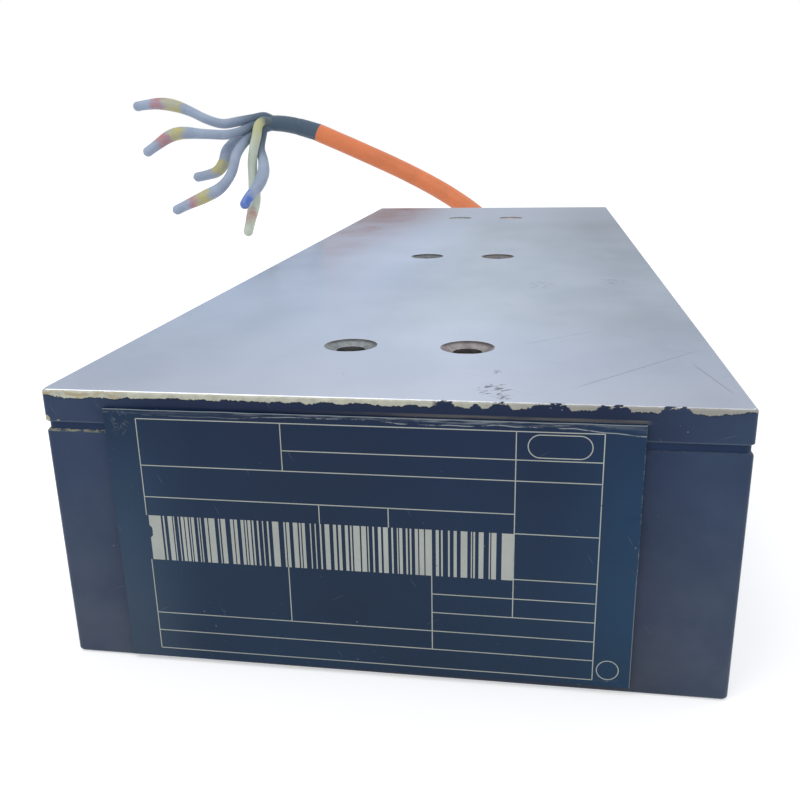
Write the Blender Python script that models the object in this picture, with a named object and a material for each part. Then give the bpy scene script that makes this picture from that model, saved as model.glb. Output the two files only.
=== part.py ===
"""Primary part of an ironcore linear motor, with its cable: every piece as its own closed solid.

Metres, +Z up. The origin is the centre of the active face, which the motor lies on. The rating
plate's end looks along -Y, and the cable and the coolant ports are at the +Y end.
"""

import math

import bmesh
import bpy
from mathutils import Vector

# Gap between two pieces that touch each other
CLEARANCE = 0.0003

# Iron core: teeth point down to the magnets, one coil on each tooth
TOOTH_COUNT = 9
TOOTH_PITCH = 0.025
TOOTH_WIDTH = 0.013
TOOTH_HEIGHT = 0.0209
YOKE_HEIGHT = 0.008
CORE_WIDTH = 0.060
TIE_ROD_COUNT = 4
TIE_ROD_SPACING = 0.050
TIE_ROD_DIAMETER = 0.0045
TIE_ROD_HEAD_MARGIN = 0.0006
TIE_ROD_HEAD_LENGTH = 0.002
CLAMP_THICKNESS = 0.002

# Insulating frame and coil on each tooth
FRAME_WALL = 0.0007
FRAME_FLANGE = 0.0008
FRAME_CORNER_RADIUS = 0.001
COIL_GAP = 0.0006
COIL_EDGE_RADIUS = 0.0006
COIL_TIP_SPACING = 0.0008

# Casing: four walls with an inner shoulder that carries the thin cover of the active face
CASING_WALL = 0.003
CASING_CORNER_RADIUS = 0.0008
CASING_FOOT_RADIUS = 0.0006
CASING_LIP_CHAMFER = 0.0005
END_TURN_ROOM = 0.017
END_CHAMBER_LENGTH = 0.027
SHOULDER_WIDTH = 0.004
SHOULDER_THICKNESS = 0.0025
FACE_SHEET_THICKNESS = 0.0008
FACE_SHEET_MARGIN = 0.004

# Mounting plate: a flange over the casing and a block that seats inside it
PLATE_THICKNESS = 0.0137
FLANGE_THICKNESS = 0.0050
FLANGE_TOP_CHAMFER = 0.0003
FLANGE_UNDER_CHAMFER = 0.0002
JOINT_HEIGHT = 0.0009
JOINT_DEPTH = 0.0007
HOLE_ROWS = 3
HOLE_SPACING = 0.020
HOLE_REAR_MARGIN = 0.045
HOLE_FRONT_MARGIN = 0.030
HOLE_CORE_DIAMETER = 0.005
HOLE_FLOOR = 0.0022
COUNTERSINK_DIAMETER = 0.0093
COUNTERSINK_DEPTH = 0.0009

# Cooling tube, pressed into a channel under the mounting plate
TUBE_DIAMETER = 0.006
TUBE_INNER_RUN = 0.020
TUBE_FRONT_MARGIN = 0.0265
TUBE_REAR_MARGIN = 0.0265
TUBE_DROP_RADIUS = 0.008

# Connections in the rear wall, all on one height
CONNECTION_HEIGHT = 0.020
PORT_BORE_DIAMETER = 0.0118
PORT_BORE_DEPTH = 0.009
PORT_SOCKET_DEPTH = 0.003
PORT_WALL = 0.0028
PORT_COLLAR_WIDTH = 0.001
PORT_COLLAR_LENGTH = 0.0025
PORT_SIDE_MARGIN = 0.0013

# Cable gland
GLAND_SEAL_WALL = 0.0007
GLAND_SLEEVE_WALL = 0.0014
GLAND_SLEEVE_LENGTH = 0.0075
GLAND_THREAD_LENGTH = 0.010
GLAND_HEX_WALL = 0.0023
GLAND_HEX_LENGTH = 0.006
GLAND_NUT_LENGTH = 0.016
GLAND_NUT_HEX_LENGTH = 0.008
GLAND_NUT_MOUTH_WALL = 0.0022
LOCK_NUT_LENGTH = 0.003

# Cable: orange jacket, dark sleeve over its end, six sleeved leads
CABLE_DIAMETER = 0.010
SLEEVE_END_DIAMETER = 0.0086
LEAD_ROOT_DIAMETER = 0.0024
LEAD_DIAMETER = 0.0054
LEAD_SWELL_LENGTH = 0.026
LEAD_MARK_DIAMETER = 0.0070
LEAD_MARK_FROM_TIP = 0.022
LEAD_MARK_HALF_LENGTH = 0.018
LEAD_TIP_SHARE = 0.65
CABLE_INNER_LENGTH = 0.009

# Connection board and what stands on it, in the rear chamber
REAR_POTTING_HEIGHT = 0.0041
BOARD_THICKNESS = 0.0016
BOARD_WIDTH = 0.060
BOARD_LENGTH = 0.013
BOARD_CORE_DISTANCE = 0.0025
TERMINAL_SPACING = 0.010
TERMINAL_HEX = 0.0055
TERMINAL_HEX_HEIGHT = 0.0025
TERMINAL_STUD_DIAMETER = 0.003
TERMINAL_STUD_HEIGHT = 0.0022
STAR_BAR_LENGTH = 0.012
STAR_BAR_WIDTH = 0.004
STAR_BAR_THICKNESS = 0.001
INNER_LEAD_DIAMETER = 0.002
INNER_LEAD_GAP = 0.0002
SENSOR_DIAMETER = 0.004
SENSOR_LENGTH = 0.010
EARTH_SCREW_HEAD_DIAMETER = 0.007
EARTH_SCREW_HEAD_HEIGHT = 0.0022
EARTH_SCREW_SHANK_DIAMETER = 0.004
EARTH_SCREW_SHANK_LENGTH = 0.005
EARTH_SCREW_FROM_REAR = 0.010

# Rating plate, a bare foil on the front face
RATING_PLATE_WIDTH = 0.0763
RATING_PLATE_THICKNESS = 0.0003
RATING_PLATE_OFFSET_X = -0.00205
RATING_PLATE_BOTTOM = 0.0007
RATING_PLATE_TOP_MARGIN = 0.0024

# Facets
CORNER_STEPS = 4
COIL_CORNER_STEPS = 3
ROUND_SIDES = 24
TUBE_SIDES_RESOLUTION = 2

# Heights, from the active face upwards
TOOTH_TIP_Z = FACE_SHEET_THICKNESS + CLEARANCE
TOOTH_ROOT_Z = TOOTH_TIP_Z + TOOTH_HEIGHT
YOKE_TOP_Z = TOOTH_ROOT_Z + YOKE_HEIGHT
PLATE_UNDER_Z = YOKE_TOP_Z + CLEARANCE
BODY_HEIGHT = PLATE_UNDER_Z + PLATE_THICKNESS
FLANGE_UNDER_Z = BODY_HEIGHT - FLANGE_THICKNESS
CASING_TOP_Z = FLANGE_UNDER_Z - JOINT_HEIGHT
SHOULDER_UNDER_Z = FACE_SHEET_THICKNESS + CLEARANCE
SHOULDER_TOP_Z = SHOULDER_UNDER_Z + SHOULDER_THICKNESS

# Sizes that follow from what a piece is fitted to
COIL_BUILD = (TOOTH_PITCH - TOOTH_WIDTH - COIL_GAP) / 2 - FRAME_WALL - 2 * CLEARANCE
TIE_ROD_HEAD_DIAMETER = YOKE_HEIGHT - 2 * TIE_ROD_HEAD_MARGIN
HOLE_DEPTH = PLATE_THICKNESS - HOLE_FLOOR
PORT_DIAMETER = PORT_BORE_DIAMETER + 2 * PORT_WALL
PORT_COLLAR_DIAMETER = PORT_DIAMETER + 2 * PORT_COLLAR_WIDTH
CABLE_BORE_RADIUS = CABLE_DIAMETER / 2 + CLEARANCE
GLAND_SLEEVE_BORE_RADIUS = CABLE_BORE_RADIUS + GLAND_SEAL_WALL + CLEARANCE
GLAND_THREAD_DIAMETER = 2 * (GLAND_SLEEVE_BORE_RADIUS + GLAND_SLEEVE_WALL)
GLAND_HEX = GLAND_THREAD_DIAMETER + 2 * GLAND_HEX_WALL
INNER_LEAD_RING_RADIUS = INNER_LEAD_DIAMETER + INNER_LEAD_GAP
RATING_PLATE_HEIGHT = BODY_HEIGHT - RATING_PLATE_BOTTOM - RATING_PLATE_TOP_MARGIN

# Plan sizes, from the centre outwards
CORE_HALF_X = CORE_WIDTH / 2
CORE_HALF_Y = TOOTH_COUNT * TOOTH_PITCH / 2
CHAMBER_HALF_X = CORE_HALF_X + END_TURN_ROOM
CHAMBER_HALF_Y = CORE_HALF_Y + END_CHAMBER_LENGTH
BODY_HALF_X = CHAMBER_HALF_X + CASING_WALL
BODY_HALF_Y = CHAMBER_HALF_Y + CASING_WALL
SEAT_HALF_X = CHAMBER_HALF_X - CLEARANCE
SEAT_HALF_Y = CHAMBER_HALF_Y - CLEARANCE
WINDOW_HALF_X = CHAMBER_HALF_X - SHOULDER_WIDTH
WINDOW_HALF_Y = CHAMBER_HALF_Y - SHOULDER_WIDTH
CHAMBER_RADIUS = CASING_CORNER_RADIUS

TUBE_Z = PLATE_UNDER_Z + TUBE_DIAMETER / 2
TUBE_OUTER_RUN = CHAMBER_HALF_X - PORT_SIDE_MARGIN - PORT_COLLAR_DIAMETER / 2
BOARD_TOP_Z = SHOULDER_TOP_Z + CLEARANCE + REAR_POTTING_HEIGHT + CLEARANCE + BOARD_THICKNESS
TERMINAL_Y = CORE_HALF_Y + BOARD_CORE_DISTANCE + BOARD_LENGTH / 2
CABLE_INNER_Y = CHAMBER_HALF_Y - CABLE_INNER_LENGTH
GLAND_FACE_Y = BODY_HALF_Y + CLEARANCE
GLAND_HEX_END_Y = GLAND_FACE_Y + GLAND_HEX_LENGTH

# Points that the jacket passes after it leaves the gland, up to its cut end
CABLE_ROUTE = [
    (0.0000, 0.1720, 0.0200),
    (0.0000, 0.1880, 0.0208),
    (-0.0020, 0.2055, 0.0236),
    (-0.0078, 0.2218, 0.0288),
    (-0.0186, 0.2347, 0.0359),
    (-0.0354, 0.2441, 0.0453),
    (-0.0570, 0.2503, 0.0557),
    (-0.0820, 0.2545, 0.0665),
    (-0.1060, 0.2560, 0.0767),
]

# Points that the dark sleeve passes, from the jacket's end on
SLEEVE_ROUTE = [
    (-0.1068, 0.2560, 0.0770),
    (-0.117, 0.2555, 0.0801),
    (-0.1255, 0.2545, 0.0819),
    (-0.134, 0.2525, 0.0826),
]

# Points that each lead passes, from the sleeve's end to its tip
LEAD_ROUTES = [
    [
        (-0.1349, 0.2523, 0.0856),
        (-0.1378, 0.2517, 0.0861),
        (-0.1433, 0.2513, 0.0851),
        (-0.1515, 0.2512, 0.0839),
        (-0.1615, 0.2510, 0.0827),
        (-0.1711, 0.2514, 0.0853),
        (-0.1814, 0.2523, 0.0900),
        (-0.1905, 0.2529, 0.0932),
        (-0.1996, 0.2529, 0.0946),
        (-0.2081, 0.2524, 0.0941),
        (-0.2158, 0.2518, 0.0930),
    ],
    [
        (-0.1351, 0.2523, 0.0827),
        (-0.1375, 0.2516, 0.0828),
        (-0.1425, 0.2495, 0.0812),
        (-0.1484, 0.2462, 0.0785),
        (-0.1565, 0.2429, 0.0767),
        (-0.1686, 0.2395, 0.0773),
        (-0.1801, 0.2358, 0.0781),
        (-0.1870, 0.2332, 0.0764),
        (-0.1938, 0.2295, 0.0717),
        (-0.2002, 0.2258, 0.0669),
    ],
    [
        (-0.1356, 0.2550, 0.0836),
        (-0.1385, 0.2549, 0.0834),
        (-0.1443, 0.2555, 0.0806),
        (-0.1523, 0.2550, 0.0757),
        (-0.1597, 0.2513, 0.0686),
        (-0.1614, 0.2479, 0.0613),
        (-0.1648, 0.2447, 0.0564),
        (-0.1710, 0.2415, 0.0543),
        (-0.1775, 0.2389, 0.0532),
    ],
    [
        (-0.1356, 0.2539, 0.0802),
        (-0.1379, 0.2530, 0.0794),
        (-0.1418, 0.2498, 0.0769),
        (-0.1463, 0.2442, 0.0729),
        (-0.1499, 0.2380, 0.0660),
        (-0.1520, 0.2322, 0.0557),
        (-0.1573, 0.2273, 0.0481),
        (-0.1652, 0.2231, 0.0437),
        (-0.1739, 0.2193, 0.0398),
        (-0.1819, 0.2157, 0.0360),
    ],
    [
        (-0.1345, 0.2495, 0.0836),
        (-0.1362, 0.2485, 0.0837),
        (-0.1384, 0.2455, 0.0815),
        (-0.1391, 0.2426, 0.0756),
        (-0.1408, 0.2415, 0.0689),
        (-0.1420, 0.2407, 0.0604),
        (-0.1418, 0.2400, 0.0515),
        (-0.1408, 0.2366, 0.0405),
        (-0.1419, 0.2310, 0.0302),
        (-0.1430, 0.2258, 0.0214),
    ],
    [
        (-0.1350, 0.2505, 0.0803),
        (-0.1366, 0.2500, 0.0800),
        (-0.1376, 0.2486, 0.0760),
        (-0.1387, 0.2469, 0.0688),
        (-0.1361, 0.2427, 0.0622),
        (-0.1348, 0.2373, 0.0554),
        (-0.1364, 0.2303, 0.0484),
        (-0.1408, 0.2262, 0.0427),
        (-0.1438, 0.2233, 0.0370),
    ],
]

# Paints and metals: colour, roughness and metallic value
FINISHES = {
    "plate_metal": ((0.56, 0.62, 0.69), 0.30, 1.0),
    "casing_paint": ((0.010, 0.020, 0.060), 0.42, 0.0),
    "cover_steel": ((0.50, 0.51, 0.53), 0.35, 1.0),
    "gasket_resin": ((0.012, 0.014, 0.020), 0.60, 0.0),
    "core_iron": ((0.23, 0.22, 0.22), 0.50, 1.0),
    "frame_plastic": ((0.75, 0.70, 0.56), 0.55, 0.0),
    "copper": ((0.62, 0.25, 0.12), 0.35, 1.0),
    "potting_resin": ((0.05, 0.05, 0.055), 0.50, 0.0),
    "board_laminate": ((0.05, 0.20, 0.09), 0.50, 0.0),
    "brass": ((0.60, 0.42, 0.16), 0.32, 1.0),
    "zinc_steel": ((0.55, 0.56, 0.58), 0.38, 1.0),
    "gland_nickel": ((0.58, 0.57, 0.54), 0.28, 1.0),
    "seal_rubber": ((0.02, 0.02, 0.02), 0.75, 0.0),
    "jacket_orange": ((0.68, 0.20, 0.09), 0.50, 0.0),
    "sleeve_dark": ((0.06, 0.10, 0.15), 0.55, 0.0),
    "lead_grey": ((0.27, 0.35, 0.48), 0.50, 0.0),
    "lead_earth": ((0.45, 0.52, 0.30), 0.50, 0.0),
    "label_foil": ((0.016, 0.026, 0.075), 0.25, 0.0),
}


def clear_scene():
    for old in list(bpy.data.objects):
        bpy.data.objects.remove(old, do_unlink=True)


def finish_of(name):
    """The named Principled material, made once."""
    found = bpy.data.materials.get(name)
    if found:
        return found
    colour, roughness, metallic = FINISHES[name]
    made = bpy.data.materials.new(name)
    made.use_nodes = True
    shader = made.node_tree.nodes["Principled BSDF"]
    shader.inputs["Base Color"].default_value = (*colour, 1.0)
    shader.inputs["Roughness"].default_value = roughness
    shader.inputs["Metallic"].default_value = metallic
    made.diffuse_color = (*colour, 1.0)
    return made


def add_object(name, data, finish):
    made = bpy.data.objects.new(name, data)
    bpy.context.scene.collection.objects.link(made)
    if finish:
        data.materials.append(finish_of(finish))
    return made


def add_mesh(name, bm, finish, smooth_angle=math.radians(35)):
    bmesh.ops.recalc_face_normals(bm, faces=bm.faces)
    mesh = bpy.data.meshes.new(name)
    bm.to_mesh(mesh)
    bm.free()
    mesh.shade_smooth()
    mesh.set_sharp_from_angle(angle=smooth_angle)
    return add_object(name, mesh, finish)


def loft(name, loops, finish, hollow=False):
    """A skin over loops with as many points each: capped at its ends, or closed into a ring."""
    bm = bmesh.new()
    rings = [[bm.verts.new(point) for point in loop] for loop in loops]
    count = len(loops[0])
    pairs = list(zip(rings, rings[1:]))
    if hollow:
        pairs.append((rings[-1], rings[0]))
    for low, high in pairs:
        for i in range(count):
            j = (i + 1) % count
            bm.faces.new((low[i], low[j], high[j], high[i]))
    if not hollow:
        bm.faces.new(rings[0])
        bm.faces.new(rings[-1])
    return add_mesh(name, bm, finish)


def rounded_loop(half_x, half_y, radius, z, centre=(0.0, 0.0), steps=CORNER_STEPS):
    """A rectangle with round corners, seen from above."""
    radius = min(radius, half_x, half_y)
    points = []
    for quarter, (sx, sy) in enumerate([(1, 1), (-1, 1), (-1, -1), (1, -1)]):
        for step in range(steps + 1):
            turn = math.radians(90) * (quarter + step / steps)
            x = sx * (half_x - radius) + radius * math.cos(turn)
            y = sy * (half_y - radius) + radius * math.sin(turn)
            points.append((centre[0] + x, centre[1] + y, z))
    return points


def round_loop(radius, along, sides=ROUND_SIDES, hexagonal=False):
    """A circle, or a hexagon whose flats are 2 * radius apart, across the Z axis."""
    points = []
    sixth = math.radians(60)
    for i in range(sides):
        turn = 2 * math.pi * i / sides
        reach = radius / math.cos((turn % sixth) - sixth / 2) if hexagonal else radius
        points.append((reach * math.cos(turn), reach * math.sin(turn), along))
    return points


def turned(name, outer, finish, inner=(), sides=ROUND_SIDES):
    """A turned piece along Z. Each entry is radius, place along the axis, and 'hex' or 'round'."""
    rows = [*outer, *reversed(inner)]
    loops = [round_loop(radius, along, sides, form == "hex") for radius, along, form in rows]
    return loft(name, loops, finish, hollow=bool(inner))


def face_rearwards(piece, x, z, y=0.0):
    """Turns a piece made along +Z so that it points along +Y."""
    piece.rotation_euler = (math.radians(-90), 0, 0)
    piece.location = (x, y, z)
    return piece


def prism(name, outline, finish, start, length, axis):
    """An outline extruded along X or Z. Points are (y, z) for X and (x, y) for Z."""
    place = {"x": lambda a, b: (start, a, b), "z": lambda a, b: (a, b, start)}[axis]
    step = {"x": Vector((length, 0, 0)), "z": Vector((0, 0, length))}[axis]
    bm = bmesh.new()
    face = bm.faces.new([bm.verts.new(place(a, b)) for a, b in outline])
    grown = bmesh.ops.extrude_face_region(bm, geom=[face])["geom"]
    bmesh.ops.translate(bm, vec=step, verts=[v for v in grown if isinstance(v, bmesh.types.BMVert)])
    return add_mesh(name, bm, finish)


def cut(piece, cutter):
    """Takes the cutter's shape out of the piece, and hides the cutter."""
    cutter.hide_render = True
    cutter.display_type = "WIRE"
    modifier = piece.modifiers.new("cut_" + cutter.name, "BOOLEAN")
    modifier.operation = "DIFFERENCE"
    modifier.solver = "EXACT"
    modifier.object = cutter
    return piece


def smooth_path(route, spacing):
    """Points a fixed spacing apart on a smooth curve through the route's own points."""
    route = [Vector(point) for point in route]
    ends = [2 * route[0] - route[1], *route, 2 * route[-1] - route[-2]]
    fine = []
    steps = 24
    for a, b, c, d in zip(ends, ends[1:], ends[2:], ends[3:]):
        for i in range(steps):
            t = i / steps
            fine.append(
                0.5 * (2 * b + (c - a) * t + (2 * a - 5 * b + 4 * c - d) * t**2
                       + (3 * b - a - 3 * c + d) * t**3)
            )
    fine.append(route[-1])
    reach = [0.0]
    for p, q in zip(fine, fine[1:]):
        reach.append(reach[-1] + (q - p).length)
    count = max(2, round(reach[-1] / spacing))
    points = []
    at = 0
    for i in range(count + 1):
        goal = reach[-1] * i / count
        while at < len(fine) - 2 and reach[at + 1] < goal:
            at += 1
        share = (goal - reach[at]) / (reach[at + 1] - reach[at])
        points.append(fine[at].lerp(fine[at + 1], min(1.0, share)))
    return points


def tube(name, points, radii, finish):
    """A round tube along the points, with a radius for each of them."""
    curve = bpy.data.curves.new(name, "CURVE")
    curve.dimensions = "3D"
    curve.use_fill_caps = True
    curve.bevel_resolution = TUBE_SIDES_RESOLUTION
    curve.bevel_depth = 1.0
    spline = curve.splines.new("POLY")
    spline.points.add(len(points) - 1)
    for spot, point, radius in zip(spline.points, points, radii):
        spot.co = (*point, 1.0)
        spot.radius = radius
    return add_object(name, curve, finish)


def even_tube(name, points, diameter, finish):
    return tube(name, points, [diameter / 2] * len(points), finish)


def make_casing():
    """Four walls with an inner shoulder, open above for the plate and below for the core."""
    foot = []
    for step in range(CORNER_STEPS + 1):
        turn = math.radians(90) * step / CORNER_STEPS
        inset = CASING_FOOT_RADIUS * (1 - math.sin(turn))
        foot.append((inset, CASING_FOOT_RADIUS * (1 - math.cos(turn))))
    outer = [(inset, z) for inset, z in foot]
    outer += [(0.0, CASING_TOP_Z - CASING_LIP_CHAMFER), (CASING_LIP_CHAMFER, CASING_TOP_Z)]
    radius = CASING_CORNER_RADIUS
    loops = [
        rounded_loop(BODY_HALF_X - inset, BODY_HALF_Y - inset, radius, z) for inset, z in outer
    ]
    rebate = BODY_HALF_X - FACE_SHEET_MARGIN, BODY_HALF_Y - FACE_SHEET_MARGIN
    inner = [
        (CHAMBER_HALF_X, CHAMBER_HALF_Y, CASING_TOP_Z),
        (CHAMBER_HALF_X, CHAMBER_HALF_Y, SHOULDER_TOP_Z),
        (WINDOW_HALF_X, WINDOW_HALF_Y, SHOULDER_TOP_Z),
        (WINDOW_HALF_X, WINDOW_HALF_Y, SHOULDER_UNDER_Z),
        (*rebate, SHOULDER_UNDER_Z),
        (*rebate, 0.0),
    ]
    loops += [rounded_loop(x, y, CHAMBER_RADIUS, z) for x, y, z in inner]
    casing = loft("casing", loops, "casing_paint", hollow=True)
    reach = 4 * CASING_WALL
    for label, x, diameter in (
        ("gland", 0.0, GLAND_THREAD_DIAMETER + 2 * CLEARANCE),
        ("inlet", -TUBE_OUTER_RUN, PORT_DIAMETER + 2 * CLEARANCE),
        ("outlet", TUBE_OUTER_RUN, PORT_DIAMETER + 2 * CLEARANCE),
    ):
        rows = [(diameter / 2, -reach / 2, "round"), (diameter / 2, reach / 2, "round")]
        bore = turned("cutter_casing_" + label, rows, None)
        face_rearwards(bore, x, CONNECTION_HEIGHT, BODY_HALF_Y)
        cut(casing, bore)
    return casing


def make_face_sheet():
    half_x = BODY_HALF_X - FACE_SHEET_MARGIN - CLEARANCE
    half_y = BODY_HALF_Y - FACE_SHEET_MARGIN - CLEARANCE
    loops = [
        rounded_loop(half_x, half_y, CHAMBER_RADIUS, z) for z in (0.0, FACE_SHEET_THICKNESS)
    ]
    return loft("active_face_cover", loops, "cover_steel")


def hole_rows():
    """Where the rows of mounting holes are along the motor, from the rear one forwards."""
    rear = BODY_HALF_Y - HOLE_REAR_MARGIN
    front = -BODY_HALF_Y + HOLE_FRONT_MARGIN
    gaps = max(1, HOLE_ROWS - 1)
    return [rear + (front - rear) * row / gaps for row in range(HOLE_ROWS)]


def cooling_plan():
    """The cooling tube's line seen from above, with its side turns: a single loop of four runs."""
    front = -CHAMBER_HALF_Y + TUBE_FRONT_MARGIN
    rear = CHAMBER_HALF_Y - TUBE_REAR_MARGIN
    turn_radius = (TUBE_OUTER_RUN - TUBE_INNER_RUN) / 2
    middle = (TUBE_OUTER_RUN + TUBE_INNER_RUN) / 2
    steps = 8
    left = []
    for step in range(steps + 1):
        turn = math.pi * step / steps
        left.append((-middle - turn_radius * math.cos(turn), front - turn_radius * math.sin(turn)))
    for step in range(steps // 2 + 1):
        turn = math.pi * step / steps
        left.append((
            -TUBE_INNER_RUN + turn_radius * (1 - math.cos(turn)),
            rear - turn_radius + turn_radius * math.sin(turn),
        ))
    right = [(-x, y) for x, y in reversed(left)]
    return left + right


def port_drop():
    """The cooling tube's fall from the plate to a port, as (y, z), from the plate's end."""
    fall = TUBE_Z - CONNECTION_HEIGHT
    radius = max(TUBE_DROP_RADIUS, fall / 2)
    bend = math.acos(1 - fall / (2 * radius))
    length = 2 * radius * math.sin(bend)
    end = port_inner_end()
    steps = 6
    first = [
        (end - length + radius * math.sin(bend * i / steps),
         TUBE_Z - radius * (1 - math.cos(bend * i / steps)))
        for i in range(steps + 1)
    ]
    second = [
        (2 * (end - length / 2) - y, TUBE_Z + CONNECTION_HEIGHT - z)
        for y, z in reversed(first[:-1])
    ]
    return first + second


def port_inner_end():
    return BODY_HALF_Y - PORT_BORE_DEPTH - PORT_SOCKET_DEPTH


def make_mounting_plate():
    under, top = FLANGE_UNDER_CHAMFER, FLANGE_TOP_CHAMFER
    levels = [
        (SEAT_HALF_X, SEAT_HALF_Y, PLATE_UNDER_Z),
        (SEAT_HALF_X, SEAT_HALF_Y, FLANGE_UNDER_Z),
        (BODY_HALF_X - under, BODY_HALF_Y - under, FLANGE_UNDER_Z),
        (BODY_HALF_X, BODY_HALF_Y, FLANGE_UNDER_Z + under),
        (BODY_HALF_X, BODY_HALF_Y, BODY_HEIGHT - top),
        (BODY_HALF_X - top, BODY_HALF_Y - top, BODY_HEIGHT),
    ]
    loops = [rounded_loop(x, y, CASING_CORNER_RADIUS, z) for x, y, z in levels]
    plate = loft("mounting_plate", loops, "plate_metal")
    above = COUNTERSINK_DEPTH
    profile = [
        (HOLE_CORE_DIAMETER / 2, -HOLE_DEPTH, "round"),
        (HOLE_CORE_DIAMETER / 2, -COUNTERSINK_DEPTH, "round"),
        (COUNTERSINK_DIAMETER / 2, 0.0, "round"),
        (COUNTERSINK_DIAMETER / 2, above, "round"),
    ]
    for row, y in enumerate(hole_rows(), start=1):
        for side, x in (("left", -HOLE_SPACING / 2), ("right", HOLE_SPACING / 2)):
            hole = turned(f"cutter_hole_{row}_{side}", profile, None)
            hole.location = (x, y, BODY_HEIGHT)
            cut(plate, hole)
    cut(plate, make_channel_cutter())
    for relief in make_relief_cutters():
        cut(plate, relief)
    x, y = earth_screw_place()
    screw_hole = turned(
        "cutter_earth_screw",
        [
            (EARTH_SCREW_SHANK_DIAMETER / 2 + CLEARANCE, -CLEARANCE - above, "round"),
            (EARTH_SCREW_SHANK_DIAMETER / 2 + CLEARANCE, EARTH_SCREW_SHANK_LENGTH, "round"),
        ],
        None,
        sides=12,
    )
    screw_hole.location = (x, y, PLATE_UNDER_Z)
    return cut(plate, screw_hole)


def make_channel_cutter():
    """A channel with a round roof along the cooling tube's line, open below."""
    rear = port_inner_end()
    plan = cooling_plan()
    plan = [(plan[0][0], rear), *plan, (plan[-1][0], rear)]
    radius = TUBE_DIAMETER / 2 + CLEARANCE
    roof = [
        (radius * math.cos(math.pi * i / 6), TUBE_Z + radius * math.sin(math.pi * i / 6))
        for i in range(7)
    ]
    below = PLATE_UNDER_Z - radius
    profile = [(radius, below), *roof, (-radius, below)]
    loops = []
    for i, (x, y) in enumerate(plan):
        before = Vector(plan[max(i - 1, 0)])
        after = Vector(plan[min(i + 1, len(plan) - 1)])
        along = (after - before).normalized()
        side = Vector((along.y, -along.x))
        loops.append([(x + side.x * a, y + side.y * a, z) for a, z in profile])
    return loft("cutter_channel", loops, None)


def make_relief_cutters():
    """Room in the plate's block for the gland and the ports, where they stand as high as it."""
    ports_start = port_inner_end() - CLEARANCE
    reliefs = []
    for label, x, radius, form, start in (
        ("gland", 0.0, GLAND_HEX / 2, "hex", CABLE_INNER_Y - CLEARANCE),
        ("inlet", -TUBE_OUTER_RUN, PORT_COLLAR_DIAMETER / 2, "round", ports_start),
        ("outlet", TUBE_OUTER_RUN, PORT_COLLAR_DIAMETER / 2, "round", ports_start),
    ):
        reach = radius + CLEARANCE / 2
        relief = turned("cutter_relief_" + label, [(reach, start, form), (reach, BODY_HALF_Y, form)], None)
        reliefs.append(face_rearwards(relief, x, CONNECTION_HEIGHT))
    return reliefs


def make_gasket():
    """The sealing strip in the joint between the flange and the casing."""
    low, high = CASING_TOP_Z + CLEARANCE, FLANGE_UNDER_Z - CLEARANCE
    outer = BODY_HALF_X - JOINT_DEPTH, BODY_HALF_Y - JOINT_DEPTH
    inner = SEAT_HALF_X + CLEARANCE, SEAT_HALF_Y + CLEARANCE
    corners = [(*outer, low), (*outer, high), (*inner, high), (*inner, low)]
    loops = [rounded_loop(x, y, CASING_CORNER_RADIUS, z) for x, y, z in corners]
    return loft("joint_gasket", loops, "gasket_resin", hollow=True)


def tooth_places():
    middle = (TOOTH_COUNT - 1) / 2
    return [TOOTH_PITCH * (i - middle) for i in range(TOOTH_COUNT)]


def tie_rod_places():
    middle = (TIE_ROD_COUNT - 1) / 2
    return [TIE_ROD_SPACING * (i - middle) for i in range(TIE_ROD_COUNT)]


def rod_cutter(name, y, z, diameter, length):
    rows = [(diameter / 2, -length / 2, "round"), (diameter / 2, length / 2, "round")]
    rod = turned(name, rows, None, sides=12)
    rod.rotation_euler = (0, math.radians(90), 0)
    rod.location = (0, y, z)
    return rod


def make_core():
    """The lamination pack: a comb whose teeth point down, stacked along X."""
    outline = [(-CORE_HALF_Y, YOKE_TOP_Z), (-CORE_HALF_Y, TOOTH_ROOT_Z)]
    for y in tooth_places():
        low, high = y - TOOTH_WIDTH / 2, y + TOOTH_WIDTH / 2
        outline += [(low, TOOTH_ROOT_Z), (low, TOOTH_TIP_Z), (high, TOOTH_TIP_Z), (high, TOOTH_ROOT_Z)]
    outline += [(CORE_HALF_Y, TOOTH_ROOT_Z), (CORE_HALF_Y, YOKE_TOP_Z)]
    core = prism("core_stack", outline, "core_iron", -CORE_HALF_X, CORE_WIDTH, "x")
    bars = [core]
    yoke = [
        (-CORE_HALF_Y, TOOTH_ROOT_Z + FRAME_FLANGE),
        (CORE_HALF_Y, TOOTH_ROOT_Z + FRAME_FLANGE),
        (CORE_HALF_Y, YOKE_TOP_Z),
        (-CORE_HALF_Y, YOKE_TOP_Z),
    ]
    near = CORE_HALF_X + CLEARANCE
    bars.append(prism("core_clamp_right", yoke, "zinc_steel", near, CLAMP_THICKNESS, "x"))
    bars.append(prism("core_clamp_left", yoke, "zinc_steel", -near, -CLAMP_THICKNESS, "x"))
    z = (TOOTH_ROOT_Z + YOKE_TOP_Z) / 2
    for i, y in enumerate(tie_rod_places(), start=1):
        reach = CORE_WIDTH + 4 * CLAMP_THICKNESS
        hole = rod_cutter(f"cutter_tie_rod_{i}", y, z, TIE_ROD_DIAMETER + 2 * CLEARANCE, reach)
        for bar in bars:
            cut(bar, hole)
    return bars


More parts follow.
